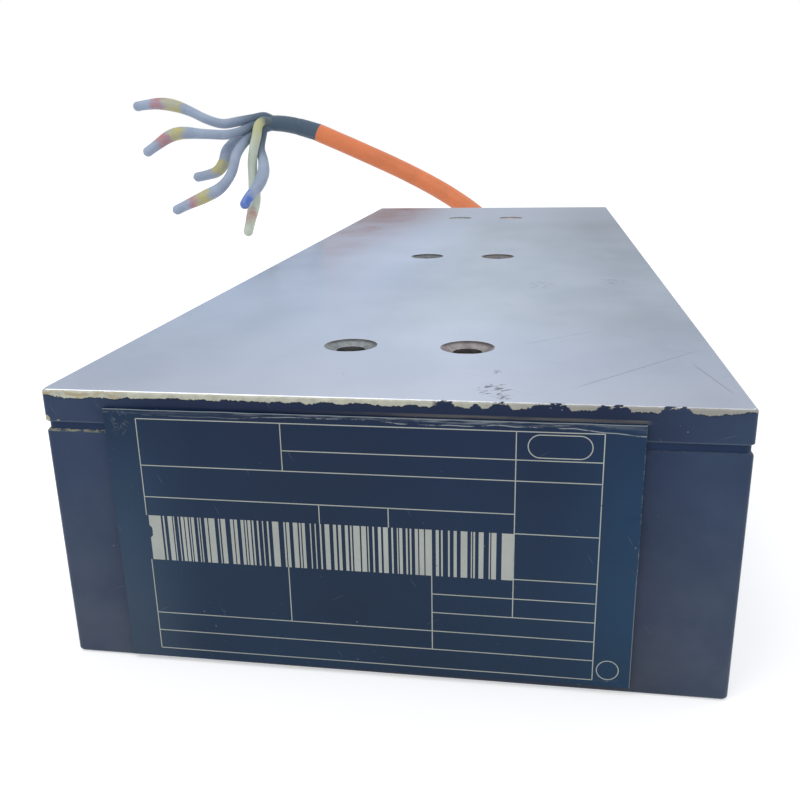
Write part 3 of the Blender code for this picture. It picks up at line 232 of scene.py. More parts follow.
class Finish:
    """One procedural material: short calls that add nodes and return their outputs.

    Sizes, widths and places are given in millimetres, except to ramp, which takes plain values.
    """

    def __init__(self, name, roughness=0.5, metallic=0, specular=0.5):
        self.material = bpy.data.materials.new(name)
        self.material.use_nodes = True
        self.nodes = self.material.node_tree.nodes
        self.links = self.material.node_tree.links
        self.shader = self.nodes["Principled BSDF"]
        self.shader.inputs["Roughness"].default_value = roughness
        self.shader.inputs["Metallic"].default_value = metallic
        self.shader.inputs["Specular IOR Level"].default_value = specular
        self.place = self.nodes.new("ShaderNodeTexCoord").outputs["Object"]

    def put(self, socket, value):
        """Links an output to the socket, or sets a plain value or colour on it."""
        if isinstance(value, bpy.types.NodeSocket):
            self.links.new(value, socket)
        elif isinstance(value, tuple) and len(value) == 3 and socket.type == "RGBA":
            socket.default_value = (*value, 1)
        else:
            socket.default_value = value

    def set(self, name, value):
        self.put(self.shader.inputs[name], value)

    def math(self, operation, *values, clamp=False):
        node = self.nodes.new("ShaderNodeMath")
        node.operation = operation
        node.use_clamp = clamp
        for socket, value in zip(node.inputs, values):
            self.put(socket, value)
        return node.outputs[0]

    def times(self, *values):
        product = values[0]
        for value in values[1:]:
            product = self.math("MULTIPLY", product, value)
        return product

    def plus(self, a, b):
        return self.math("ADD", a, b)

    def minus(self, a, b, clamp=False):
        return self.math("SUBTRACT", a, b, clamp=clamp)

    def most(self, a, b):
        return self.math("MAXIMUM", a, b)

    def size(self, value):
        return self.math("ABSOLUTE", value)

    def axes(self):
        node = self.nodes.new("ShaderNodeSeparateXYZ")
        self.put(node.inputs[0], self.place)
        return node.outputs[0], node.outputs[1], node.outputs[2]

    def facing(self):
        """The three parts of the surface's direction."""
        node = self.nodes.new("ShaderNodeSeparateXYZ")
        self.put(node.inputs[0], self.nodes.new("ShaderNodeNewGeometry").outputs["Normal"])
        return node.outputs[0], node.outputs[1], node.outputs[2]

    def attribute(self, name):
        node = self.nodes.new("ShaderNodeAttribute")
        node.attribute_name = name
        return node.outputs["Fac"]

    def sheet(self, across, up):
        """A flat place made of two of the axes, for patterns on a side face."""
        node = self.nodes.new("ShaderNodeCombineXYZ")
        self.put(node.inputs[0], across)
        self.put(node.inputs[1], up)
        return node.outputs[0]

    def mapped(self, stretch=(1, 1, 1), turn=0, shift=(0, 0, 0), place=None):
        """The place shifted, turned about Z and then stretched."""
        node = self.nodes.new("ShaderNodeMapping")
        node.vector_type = "TEXTURE"
        self.put(node.inputs["Vector"], self.place if place is None else place)
        node.inputs["Location"].default_value = shift
        node.inputs["Rotation"].default_value = (0, 0, math.radians(turn))
        node.inputs["Scale"].default_value = [1 / factor for factor in stretch]
        return node.outputs[0]

    def noise(self, size, detail=3, rough=0.5, stretch=(1, 1, 1), turn=0, shift=(0, 0, 0), warp=0):
        """Noise around 0.5, with lumps about as wide as size."""
        node = self.nodes.new("ShaderNodeTexNoise")
        self.put(node.inputs["Vector"], self.mapped(stretch, turn, shift))
        node.inputs["Scale"].default_value = 1 / (size * MM)
        node.inputs["Detail"].default_value = detail
        node.inputs["Roughness"].default_value = rough
        node.inputs["Distortion"].default_value = warp
        return node.outputs[0]

    def specks(self, spacing, radius, shift=(0, 0, 0)):
        """1 within a radius of scattered points, 0 elsewhere."""
        node = self.nodes.new("ShaderNodeTexVoronoi")
        self.put(node.inputs["Vector"], self.mapped(shift=shift))
        node.inputs["Scale"].default_value = 1 / (spacing * MM)
        return self.ramp(node.outputs["Distance"], radius / spacing, 0.6 * radius / spacing)

    def ramp(self, value, start, end, low=0, high=1, smooth=True):
        """low at start and high at end, held beyond them."""
        node = self.nodes.new("ShaderNodeMapRange")
        node.interpolation_type = "SMOOTHSTEP" if smooth else "LINEAR"
        for socket, entry in zip(node.inputs, (value, start, end, low, high)):
            self.put(socket, entry)
        return node.outputs[0]

    def over(self, value, start, end, low=0, high=1, smooth=True):
        """A ramp between two lengths in millimetres."""
        return self.ramp(value, start * MM, end * MM, low, high, smooth)

    def vary(self, value, low, high):
        """A noise's usual range stretched to low and high."""
        return self.ramp(value, LOW_NOISE, HIGH_NOISE, low, high)

    def curls(self, size, width, shift=(0, 0, 0), warp=0):
        """Thin wandering lines: the level curves of a noise."""
        lines = self.noise(size, 1.5, 0.5, shift=shift, warp=warp)
        return self.ramp(self.size(self.minus(lines, 0.5)), width, 0)

    def strokes(self, spacing, width, length, turn, place=None, shift=(0, 0, 0)):
        """Straight scratches, thin at both ends, scattered on a flat place."""
        node = self.nodes.new("ShaderNodeTexVoronoi")
        node.voronoi_dimensions = "2D"
        self.put(node.inputs["Vector"], self.mapped((1, width / length, 1), turn, shift, place))
        node.inputs["Scale"].default_value = 1 / (spacing * MM)
        return self.ramp(node.outputs["Distance"], width / spacing / 2, 0.15 * width / spacing)

    def scratch(self, across, up, start, end, width):
        """1 on one straight scratch between two points of the plane, given in millimetres."""
        start, end = Vector(start) * MM, Vector(end) * MM
        ahead = (end - start).normalized()
        length = (end - start).length
        a = self.minus(across, start.x)
        b = self.minus(up, start.y)
        along = self.plus(self.times(a, ahead.x), self.times(b, ahead.y))
        away = self.minus(self.times(a, ahead.y), self.times(b, ahead.x))
        line = self.over(self.size(away), width / 2, width / 6)
        line = self.times(line, self.ramp(along, 0, 0.2 * length))
        return self.times(line, self.ramp(along, length, 0.8 * length))

    def spot(self, across, up, centre, reach, soft=0.3):
        """1 inside an ellipse of the plane, given in millimetres."""
        parts = []
        for value, middle, half in zip((across, up), centre, reach):
            away = self.math("DIVIDE", self.minus(value, middle * MM), half * MM)
            parts.append(self.times(away, away))
        return self.ramp(self.plus(*parts), 1 + soft, 1 - soft)

    def mix(self, share, first, second):
        """A number between two numbers."""
        return self.plus(self.times(first, self.minus(1, share)), self.times(second, share))

    def blend(self, share, first, second):
        node = self.nodes.new("ShaderNodeMix")
        node.data_type = "RGBA"
        self.put(node.inputs[0], share)
        self.put(node.inputs[6], first)
        self.put(node.inputs[7], second)
        return node.outputs[2]

    def shade(self, colour, factor):
        """The colour times a factor."""
        node = self.nodes.new("ShaderNodeVectorMath")
        node.operation = "SCALE"
        self.put(node.inputs[0], colour)
        self.put(node.inputs["Scale"], factor)
        return node.outputs[0]

    def relief(self, height, distance, strength=1, under=None):
        """A bump of that distance where height is 1."""
        node = self.nodes.new("ShaderNodeBump")
        node.inputs["Strength"].default_value = strength
        node.inputs["Distance"].default_value = distance * MM
        self.put(node.inputs["Height"], height)
        if under:
            self.put(node.inputs["Normal"], under)
        return node.outputs[0]


def dress(obj, finish):
    """Gives an object one material."""
    obj.data.materials.clear()
    obj.data.materials.append(finish.material)


def plain_finish(name, colour, roughness, metallic=0, grain=2, spread=0.12, bump=0.02, specular=0.5):
    """A colour with mottling, a matching change of gloss, and a fine grain."""
    f = Finish(name, roughness, metallic, specular)
    wide = f.noise(8 * grain, 4)
    fine = f.noise(grain, 5, 0.6)
    tone = f.plus(f.vary(wide, 1 - spread, 1 + spread), f.vary(fine, -spread / 3, spread / 3))
    f.set("Base Color", f.shade(colour, tone))
    f.set("Roughness", f.vary(fine, roughness - 0.06, roughness + 0.06))
    f.set("Normal", f.relief(fine, bump))
    return f


def add_paint(f, seed):
    """The navy paint's colour, roughness and relief, with haze, a painted reflection of the floor
    towards the bottom, dust, rubs and fine scratches.
    """
    x, y, z = f.axes()
    face = f.sheet(f.plus(x, y), z)
    wide = f.noise(45, 4, shift=(seed, 0, 0))
    cloud = f.noise(9, 5, 0.6, shift=(seed, 0.2, 0))
    peel = f.noise(1.1, 2, shift=(0, seed, 0))
    colour = f.shade(NAVY, f.vary(wide, 0.90, 1.12))
    haze = f.over(f.size(x), 30, 47, 0, 0.12)
    colour = f.blend(f.times(haze, f.vary(cloud, 0.85, 1.15)), colour, PAINT_HAZE)
    # Painted reflection of the floor: lighter and greyer towards the bottom
    low = f.over(z, 36, 4, 0, 0.11, smooth=False)
    colour = f.blend(f.times(low, f.vary(cloud, 0.7, 1.3)), colour, PAINT_FLOOR_REFLECTION)
    rub = f.ramp(f.noise(16, 6, 0.7, shift=(0, 0, seed)), 0.62, 0.78, 0, 0.10)
    colour = f.blend(rub, colour, (0.14, 0.18, 0.25))
    dust = f.most(f.specks(5.5, 0.16, (seed, 0.1, 0)), f.specks(3.1, 0.08, (0, 0.3, seed)))
    colour = f.blend(f.times(dust, 0.28), colour, (0.40, 0.44, 0.46))
    lines = f.most(f.strokes(3.4, 0.11, 2.6, 34, face, (seed, 0, 0)),
                   f.strokes(4, 0.10, 3.4, -72, face, (0, seed, 0)))
    colour = f.blend(f.times(lines, 0.22), colour, (0.26, 0.31, 0.38))
    gloss = f.plus(f.vary(peel, 0.33, 0.43), f.times(rub, 0.8))
    return colour, gloss, peel


def plate_finish():
    """Bare satin metal on top; on the sides navy paint, worn off in a ragged band along the top edge."""
    f = Finish("plate_metal", 0.24, 1, 0.15)
    x, y, z = f.axes()
    depth = f.minus(TOP, z)

    wide = f.noise(60, 4, 0.5, (1, 0.45, 1))
    cloud = f.noise(14, 5, 0.6, (1, 0.7, 1))
    grain = f.noise(0.7, 3, 0.6, (1, 7, 1))
    # Painted reflection: a random tone times a level that paints the top's reflection brighter a little
    # way in from the front, and dimmer at the front edge, the rear, the left edge and the right; it
    # scales the metal's colour and its grazing tint
    tone_and_painted_reflection = f.plus(f.vary(wide, 0.95, 1.05), f.vary(cloud, -0.02, 0.02))
    tone_and_painted_reflection = f.times(tone_and_painted_reflection, f.ramp(y, FRONT, FRONT + 80 * MM, 0.91, 1.20))
    tone_and_painted_reflection = f.times(tone_and_painted_reflection, f.over(y, 10, 120, 1, 0.82))
    tone_and_painted_reflection = f.times(tone_and_painted_reflection, f.over(x, -50, -15, 0.96, 1))
    tone_and_painted_reflection = f.times(tone_and_painted_reflection, f.over(x, 8, 44, 1, 0.86))
    # Painted highlight: a brighter spot near the middle of the front
    glow = f.spot(x, y, (2, -136.5), (32, 52), 0.95)
    tone_and_painted_reflection = f.times(tone_and_painted_reflection, f.ramp(glow, 0, 1, 1, 1.17, smooth=False))
    metal = f.shade(METAL, f.ramp(tone_and_painted_reflection, 0.7, 1.3, 0.90, 1.10, smooth=False))
    # Painted reflection: the grazing tint dimmer in a band down the middle and near the right side
    painted_dim_middle = f.times(f.over(y, -60, 30), f.over(y, 110, 60))
    tone_and_painted_reflection = f.minus(tone_and_painted_reflection, f.times(painted_dim_middle, f.over(x, -15, 15, 0, 0.155)))
    painted_dim_right = f.times(f.over(y, -120, -90), f.over(y, 20, -20))
    tone_and_painted_reflection = f.minus(tone_and_painted_reflection, f.times(painted_dim_right, f.over(x, 20, 50, 0, 0.12)))
    # Painted reflection: other grazing tints on the right and at the rear
    painted_right_tint = f.times(f.over(y, -125, -85), f.over(x, -20, 5))
    grazing_tint_and_painted_reflection = f.blend(painted_right_tint, METAL_GRAZING, PAINTED_REFLECTION_RIGHT)
    grazing_tint_and_painted_reflection = f.shade(f.blend(f.over(y, 50, 115), grazing_tint_and_painted_reflection, PAINTED_REFLECTION_REAR), tone_and_painted_reflection)
    scored = f.most(f.strokes(3, 0.16, 8, 58), f.strokes(3.8, 0.14, 11, -36))
    scored = f.most(scored, f.strokes(5, 0.16, 16, 84, shift=(0.02, 0, 0)))
    area = f.ramp(f.plus(f.noise(40, 2, shift=(0.2, 0, 0)), f.times(x, 3)), 0.45, 0.75, 0.1, 0.6)
    scored = f.times(scored, area)
    for start, end, share in LONG_SCRATCHES:
        scored = f.most(scored, f.times(f.scratch(x, y, start, end, 0.4), share))
    smut = 0
    for px, py, reach, share in SMUDGES:
        away = f.spot(x, y, (px, py), (0.35 * reach, 0.5 * reach), 0.7)
        smut = f.most(smut, f.times(away, share))
    streaks = f.noise(0.8, 4, 0.7, (1, 0.4, 1), turn=-50, warp=0.4)
    smut = f.times(smut, f.ramp(streaks, 0.52, 0.60))
    marked = f.most(f.times(scored, 0.5), f.times(smut, 0.75))
    metal = f.blend(marked, metal, (0.08, 0.09, 0.10))
    grazing_tint_and_painted_reflection = f.blend(marked, grazing_tint_and_painted_reflection, (0.10, 0.11, 0.12))

    off_hole = f.minus(f.size(x), HOLE_COLUMN)
    from_row = f.plus(y, 2.5 * HOLE_PITCH - LAST_HOLE_Y)
    off_row = f.minus(f.math("MODULO", from_row, HOLE_PITCH), HOLE_PITCH / 2)
    ring = f.math("SQRT", f.plus(f.math("POWER", off_hole, 2), f.math("POWER", off_row, 2)))
    in_hole = f.times(f.over(ring, 4.9, 4.8), f.over(depth, 0.01, 0.05))
    turned = f.ramp(f.math("SINE", f.times(ring, 2 * math.pi / (0.42 * MM))), -1, 1, 0.86, 1.08)
    # Hole walls, partly dirt and partly painted shade: darker deeper in the bore, darker at each hole's
    # far rim, and darker or lighter row by row
    hole_dirt_and_shade = f.plus(f.over(y, -60, 0, 0.27, 0.17), f.over(y, 40, 80, 0, 0.24))
    hole_dirt_and_shade = f.times(hole_dirt_and_shade, f.times(turned, f.over(depth, 1, 3, 1, 0.2)))
    hole_dirt_and_shade = f.times(hole_dirt_and_shade, f.vary(f.noise(1.5, 4, 0.6), 0.75, 1.2))
    # Painted shade on the far side of each hole's rim
    painted_far_rim_shade = f.times(f.over(ring, 3.3, 4.5), f.over(off_row, -1, 2.5))
    hole_dirt_and_shade = f.times(hole_dirt_and_shade, f.ramp(painted_far_rim_shade, 0, 1, 1.12, 0.42))
    warm = f.blend(f.over(x, -5, 5), (0.92, 1, 1.06), (1.04, 0.95, 0.98))
    metal = f.blend(in_hole, metal, f.shade(warm, hole_dirt_and_shade))
    grazing_tint_and_painted_reflection = f.blend(in_hole, grazing_tint_and_painted_reflection, (0.6, 0.6, 0.6))

    outer = f.most(f.ramp(f.size(x), PLATE_HIGH.x - 0.6 * MM, PLATE_HIGH.x - 0.4 * MM),
                   f.ramp(f.size(y), REAR - 0.6 * MM, REAR - 0.4 * MM))
    ragged = f.times(f.minus(f.noise(0.35, 4, 0.7), 0.5), 0.7 * MM)
    chipped = f.ramp(x, WORN_TO - 1 * MM, WORN_TO)
    for start, end in WORN_PATCHES:
        middle, half = (start + end) / 2 * MM, (end - start) / 2 * MM
        away = f.size(f.minus(f.plus(x, f.times(ragged, 1.6)), middle))
        away = f.plus(away, f.times(depth, 0.9))
        chipped = f.minus(chipped, f.ramp(away, half + 0.55 * MM, half + 0.40 * MM), clamp=True)
    chipped = f.times(chipped, f.ramp(y, FRONT + 3 * MM, FRONT + 2 * MM))
    speckle = f.noise(0.42, 3, 0.6, (0.45, 1, 1.3))
    bitten = f.times(chipped, f.ramp(speckle, 0.55, 0.45, 0, 0.12 * MM))
    metal_to = f.minus(f.plus(0.105 * MM, f.times(ragged, 0.25)), bitten)
    metal_share = f.minus(1, f.times(outer, f.over(f.minus(depth, metal_to), -0.02, 0.02)))
    on_edge = f.times(outer, f.over(depth, 0.005, 0.03))
    ends = f.most(f.over(x, -36, -41), f.over(x, 14, 26))
    dull = f.times(ends, f.ramp(f.noise(2.4, 3, 0.6), 0.40, 0.60, 0.85, 0.25))
    dull = f.most(dull, f.ramp(f.noise(1, 3, 0.6, (0.35, 1, 1)), 0.58, 0.42, 0.15, 0.65))
    metal = f.blend(f.times(on_edge, dull), metal, (0.48, 0.50, 0.54))

    uneven = f.noise(2.6, 3, 0.6, (1, 1, 0.2), shift=(0.4, 0, 0))
    worn = f.plus(f.vary(uneven, 0.66 * MM, 1.06 * MM), ragged)
    worn = f.plus(worn, f.over(x, -35, -39, 0, 0.20 * MM))
    worn = f.minus(worn, f.over(x, -46, -49.5, 0, 0.45 * MM))
    worn = f.minus(worn, f.over(x, 43, 48, 0, 0.34 * MM))
    over = f.minus(depth, worn)
    speckled = f.ramp(f.minus(speckle, f.over(depth, 0.08, 0.62, 0.49, 0.74)), 0.012, -0.012)
    painted = f.times(outer, f.mix(chipped, f.over(over, -0.02, 0.03), speckled))

    paint, paint_gloss, peel = add_paint(f, 0.7)
    shadow = f.times(f.over(over, 0.25, 0.02), f.minus(1, chipped))
    paint = f.blend(f.times(shadow, 0.55), paint, (0.012, 0.016, 0.018))
    # Painted highlight: a light line along the flange's lower edge and its under-chamfer
    rim = f.plus(f.over(depth, 4.66, 4.80, 0, 0.12), f.over(depth, 4.80, 4.88, 0, 0.12))
    paint = f.blend(rim, paint, (0.32, 0.38, 0.44))
    over_label = f.minus(z, LABEL_HIGH.z)
    grimed = f.times(f.over(over_label, 0.58, 0.28), f.over(over_label, -0.3, 0))
    grimed = f.times(grimed, f.times(f.over(x, -20, 18, 0, 0.75), f.over(x, 37, 35.5)))
    grimed = f.times(grimed, f.ramp(f.noise(0.6, 4, 0.6, (0.08, 1, 1)), 0.35, 0.6, 0.45, 1))
    grimed = f.times(grimed, f.ramp(y, FRONT + 1 * MM, FRONT + 0.3 * MM))
    paint = f.blend(grimed, paint, (0.20, 0.19, 0.17))

    primer = f.shade(PRIMER, f.vary(f.noise(1.6, 4), 0.84, 1.10))
    ochre = f.ramp(f.noise(0.8, 4, 0.6, (0.3, 1, 1)), 0.46, 0.58)
    ochre = f.times(ochre, f.over(x, -35, -40, 0, 0.75))
    primer = f.blend(ochre, primer, (0.44, 0.33, 0.17))
    primer = f.blend(f.over(x, -4, 36, 0, 0.85), primer, (0.31, 0.295, 0.275))
    chip = f.most(f.spot(x, z, (-49.5, 39.5), (0.5, 0.55)), f.spot(x, z, (-47.7, 39.33), (0.28, 0.07)))
    chip = f.times(chip, f.ramp(y, FRONT + 3 * MM, FRONT + 2 * MM))
    painted = f.times(painted, f.minus(1, chip))

    f.set("Base Color", f.blend(metal_share, f.blend(painted, primer, paint), metal))
    f.set("Specular Tint", f.blend(metal_share, (1, 1, 1), grazing_tint_and_painted_reflection))
    f.set("Metallic", metal_share)
    satin = f.plus(f.vary(cloud, 0.16, 0.23), f.times(f.plus(scored, smut), 0.25))
    satin = f.plus(satin, f.times(f.most(in_hole, on_edge), 0.22))
    f.set("Roughness", f.mix(metal_share, f.mix(painted, 0.55, paint_gloss), satin))
    rise = f.relief(painted, 0.06)
    rise = f.relief(peel, 0.012, 0.6, rise)
    rise = f.relief(grain, 0.0015, 0.5, rise)
    f.set("Normal", f.relief(marked, -0.003, 0.5, rise))
    return f


def casing_finish():
    """Navy paint, worn to the metal along the lip under the joint."""
    f = Finish("casing_paint", 0.38, specular=0.15)
    x, y, z = f.axes()
    paint, gloss, peel = add_paint(f, 1.9)
    below = f.minus(CASING_HIGH.z, z)
    worn = f.ramp(f.noise(0.6, 4, 0.7, (0.5, 1, 1.3)), 0.40, 0.50)
    on_lip = f.over(below, 0.58, 0.44)
    frayed = f.times(f.minus(f.noise(1.4, 3, 0.6, shift=(0.1, 0, 0)), 0.5), 1.1 * MM)
    on_lip = f.times(on_lip, f.over(f.plus(below, frayed), 0.10, 0.22))
    at_left = f.times(f.over(x, -37, -39), f.ramp(y, FRONT + 2 * MM, FRONT + 1 * MM))
    few = f.ramp(f.noise(1.7, 4, 0.7, shift=(0.8, 0, 0)), 0.66, 0.72, 0.05, 0.8)
    share = f.mix(at_left, few, 0.9)
    share = f.times(share, f.times(worn, on_lip))
    steel = f.shade(WORN_STEEL, f.vary(f.noise(1.1, 4), 0.75, 1.3))
    f.set("Base Color", f.blend(share, paint, steel))
    f.set("Roughness", gloss)
    f.set("Normal", f.relief(peel, 0.012, 0.6, f.relief(share, -0.05)))
    return f


def brushed_finish(name, colour, roughness, turn=0):
    """Sheet metal brushed along one direction, with a few scratches."""
    f = Finish(name, roughness, 1)
    hair = f.noise(0.5, 3, 0.6, (1, 0.03, 1), turn)
    wide = f.noise(30, 3)
    lines = f.most(f.strokes(3, 0.12, 7, turn + 50), f.strokes(4, 0.10, 5, turn - 38))
    tone = f.plus(f.vary(wide, 0.9, 1.05), f.vary(hair, -0.05, 0.05))
    f.set("Base Color", f.shade(colour, tone))
    rough = f.vary(hair, roughness - 0.06, roughness + 0.08)
    f.set("Roughness", f.plus(rough, f.times(lines, 0.2)))
    f.set("Normal", f.relief(lines, -0.005, 0.6, f.relief(hair, 0.003, 0.5)))
    return f


def striped_finish(name, colour, dark, roughness, metallic, axis, pitch, bump):
    """Fine stripes across one axis, such as laminations or wound wire."""
    f = Finish(name, roughness, metallic)
    along = f.axes()["xyz".index(axis)]
    wave = f.math("SINE", f.times(along, 2 * math.pi / (pitch * MM)))
    ridge = f.ramp(wave, -1, 1, smooth=False)
    patch = f.vary(f.noise(6, 4), 0.85, 1.12)
    f.set("Base Color", f.shade(f.blend(ridge, dark, colour), patch))
    f.set("Normal", f.relief(ridge, bump))
    return f


def foil_finish():
    """Glossy navy foil with creases along its lifted top edge, fine scratches and dust."""
    f = Finish("label_foil", 0.24, specular=0.20)
    x, _, z = f.axes()
    face = f.sheet(x, z)
    below = f.minus(LABEL_HIGH.z, z)
    fall = f.ramp(z, LABEL_HIGH.z, LABEL_LOW.z, 0, 1, smooth=False)
    colour = f.blend(fall, FOIL_NAVY, (0.010, 0.030, 0.066))
    sides = f.over(f.size(f.plus(x, 2 * MM)), 24, 38, 0, 0.09)
    sides = f.times(sides, f.over(z, 40, 28, 0.55, 1))
    colour = f.blend(sides, colour, (0.03, 0.20, 0.40))
    dusty = f.times(f.ramp(x, -26 * MM, LABEL_LOW.x, 0, 0.10), fall)
    colour = f.blend(dusty, colour, (0.34, 0.33, 0.30))
    colour = f.shade(colour, f.vary(f.noise(25, 4), 0.9, 1.12))
    dust = f.most(f.specks(4.5, 0.13), f.specks(2.3, 0.06, (0.4, 0, 0)))
    colour = f.blend(f.times(dust, 0.42), colour, (0.40, 0.43, 0.45))
    lines = f.most(f.strokes(2.6, 0.08, 2.4, 28, face), f.strokes(3.2, 0.07, 3.2, -61, face))
    colour = f.blend(f.times(lines, 0.22), colour, (0.34, 0.38, 0.44))

    wave = f.noise(9, 2, 0.5, (1, 1, 0.1), shift=(0.6, 0, 0))
    curl = f.times(f.over(x, 26, 36), 0.75 * MM)
    second = f.plus(f.vary(wave, 0.45 * MM, 0.95 * MM), curl)
    crease = f.over(f.size(f.minus(below, second)), 0.10, 0.03)
    broken = f.ramp(f.noise(1.4, 4, 0.7, (0.35, 1, 1)), 0.40, 0.54)
    crease = f.times(crease, f.times(broken, f.over(x, -24, -8, 0.25, 0.85)))
    rubs = f.ramp(f.noise(0.4, 4, 0.7, (0.07, 1, 1)), 0.42, 0.62, 0, 0.55)
    rubs = f.times(rubs, f.over(x, -30, 10, 0.3, 1))
    rubs = f.times(rubs, f.over(x, 24, 34, 1, 0.35))
    rubbed = f.times(f.ramp(below, second, 0.2 * MM), rubs)
    on_top = f.ramp(f.facing()[2], 0.6, 0.9)
    rim = f.times(f.over(below, 0.14, 0.08, 0, 0.75), f.minus(1, on_top))
    right = f.over(f.minus(LABEL_HIGH.x, x), 0.14, 0.06)
    specked = f.ramp(f.noise(0.7, 4, 0.7), 0.50, 0.60)
    specked = f.most(specked, f.over(z, 24, 16, 0, 0.9))
    # Painted highlights: pale streaks at the foil's lower right corner stand in for the light on its
    # wrinkles
    foot = f.times(f.over(f.minus(z, LABEL_LOW.z), 1.9, 0.8), f.over(x, 27, 31))
    wrinkle_glint_noise = f.noise(1, 3, 0.6, (0.2, 1, 1), shift=(0.9, 0, 0))
    foot = f.times(foot, f.ramp(wrinkle_glint_noise, 0.55, 0.60, 0, 0.45))
    pale = f.most(f.most(crease, rubbed), rim)
    pale = f.most(pale, f.times(right, specked, f.over(z, 34, 20, 0.22, 0.5)))
    pale = f.times(f.most(pale, foot), f.minus(1, on_top))
    colour = f.blend(pale, colour, (0.38, 0.41, 0.41))

    corner = f.spot(x, z, (-37.9, 39.6), (1.5, 2.1), 0.4)
    scuffs = f.most(f.strokes(0.8, 0.12, 0.9, 25, face), f.strokes(0.9, 0.12, 1, -50, face))
    scuffs = f.most(f.times(scuffs, 0.6), f.curls(1.1, 0.028, warp=0.5))
    colour = f.blend(f.times(corner, scuffs, 0.20), colour, (0.40, 0.43, 0.40))
    f.set("Base Color", colour)
    gloss = f.vary(f.noise(3, 4), 0.19, 0.28)
    f.set("Roughness", f.plus(gloss, f.times(f.most(lines, pale), 0.3)))
    f.set("Normal", f.relief(f.noise(2.2, 2), 0.006, 0.5))
    return f


def print_finish():
    """Pale print with pinholes and thin places."""
    f = Finish("label_print", 0.55, specular=0.3)
    thin = f.ramp(f.noise(0.5, 4, 0.7), 0.62, 0.72)
    holes = f.most(f.specks(2.2, 0.12, (0.3, 0, 0)), f.times(thin, 0.35))
    colour = f.shade(PRINT_GREY, f.vary(f.noise(9, 3), 0.92, 1.06))
    f.set("Base Color", f.blend(f.times(holes, 0.75), colour, (0.05, 0.06, 0.09)))
    return f


def cord_finish(name, colour, roughness, grain=0.5):
    """A cable's jacket or sleeve: a soft sheen, mottling, a fine grain and grime."""
    f = Finish(name, roughness, specular=0.4)
    wide = f.noise(18, 4)
    fine = f.noise(grain, 4, 0.6)
    grime = f.ramp(f.noise(6, 5, 0.65, shift=(0.5, 0, 0)), 0.55, 0.75, 0, 0.22)
    colour = f.shade(colour, f.vary(wide, 0.90, 1.08))
    f.set("Base Color", f.blend(grime, colour, (0.16, 0.10, 0.08)))
    f.set("Roughness", f.vary(fine, roughness - 0.08, roughness + 0.08))
    f.set("Normal", f.relief(fine, 0.02, 0.5))
    f.shader.inputs["Sheen Weight"].default_value = 0.15
    return f


def lead_finish(name, marks):
    """A lead's pale sleeve with its marks, from the distance to the root and to the tip."""
    f = Finish(name + "_sleeve", 0.48, specular=0.4)
    root = f.attribute("along")
    fine = f.noise(1.2, 4)
    drift = f.times(f.minus(f.noise(5, 3), 0.5), 14 * MM)
    tip = f.plus(f.attribute("from_tip"), drift)
    base = EARTH_GREEN if name == "lead_earth" else LEAD_GREY
    colour = f.shade(base, f.vary(f.noise(9, 4), 0.92, 1.10))
    if name == "lead_earth":
        colour = f.blend(f.over(root, 26, 12, 0, 0.9), colour, EARTH_YELLOW)
        colour = f.blend(f.over(root, 12, 6, 0, 0.9), colour, SLEEVE_BLUE)
    else:
        colour = f.blend(f.over(root, 32, 10, 0, 0.92), colour, SLEEVE_BLUE)
    for mark, start, end, share in marks:
        inside = f.times(f.over(tip, start - 3, start + 2), f.over(tip, end + 3, end - 2))
        patchy = f.ramp(f.noise(3, 3, shift=(0.3, 0, 0)), 0.35, 0.6, 0.6 * share, share)
        colour = f.blend(f.times(inside, patchy), colour, mark)
    f.set("Base Color", colour)
    f.set("Roughness", f.vary(fine, 0.40, 0.54))
    f.set("Normal", f.relief(fine, 0.05, 0.5))
    return f


def add_object(name, data, place=(0, 0, 0), turn=(0, 0, 0)):
    piece = bpy.data.objects.new(name, data)
    piece.location, piece.rotation_euler = place, turn
    bpy.context.scene.collection.objects.link(piece)
    return piece


def add_mesh(name, bm, finish, smooth_angle=math.radians(40)):
    bmesh.ops.recalc_face_normals(bm, faces=bm.faces)
    mesh = bpy.data.meshes.new(name)
    bm.to_mesh(mesh)
    bm.free()
    mesh.shade_smooth()
    mesh.set_sharp_from_angle(angle=smooth_angle)
    piece = add_object(name, mesh)
    dress(piece, finish)
    return piece


def smooth_path(route, spacing):
    """Points a fixed spacing apart on a smooth curve through the route's own points."""
    route = [Vector(point) for point in route]
    ends = [2 * route[0] - route[1], *route, 2 * route[-1] - route[-2]]
    fine = []
    steps = 24
    for a, b, c, d in zip(ends, ends[1:], ends[2:], ends[3:]):
        for i in range(steps):
            t = i / steps
            fine.append(
                0.5 * (2 * b + (c - a) * t + (2 * a - 5 * b + 4 * c - d) * t**2
                       + (3 * b - a - 3 * c + d) * t**3)
            )
    fine.append(route[-1])
    reach = [0.0]
    for p, q in zip(fine, fine[1:]):
        reach.append(reach[-1] + (q - p).length)
    count = max(2, round(reach[-1] / spacing))
    points = []
    at = 0
    for i in range(count + 1):
        goal = reach[-1] * i / count
        while at < len(fine) - 2 and reach[at + 1] < goal:
            at += 1
        share = (goal - reach[at]) / (reach[at + 1] - reach[at])
        points.append(fine[at].lerp(fine[at + 1], min(1, share)))
    return points


def path_length(points):
    return sum((q - p).length for p, q in zip(points, points[1:]))


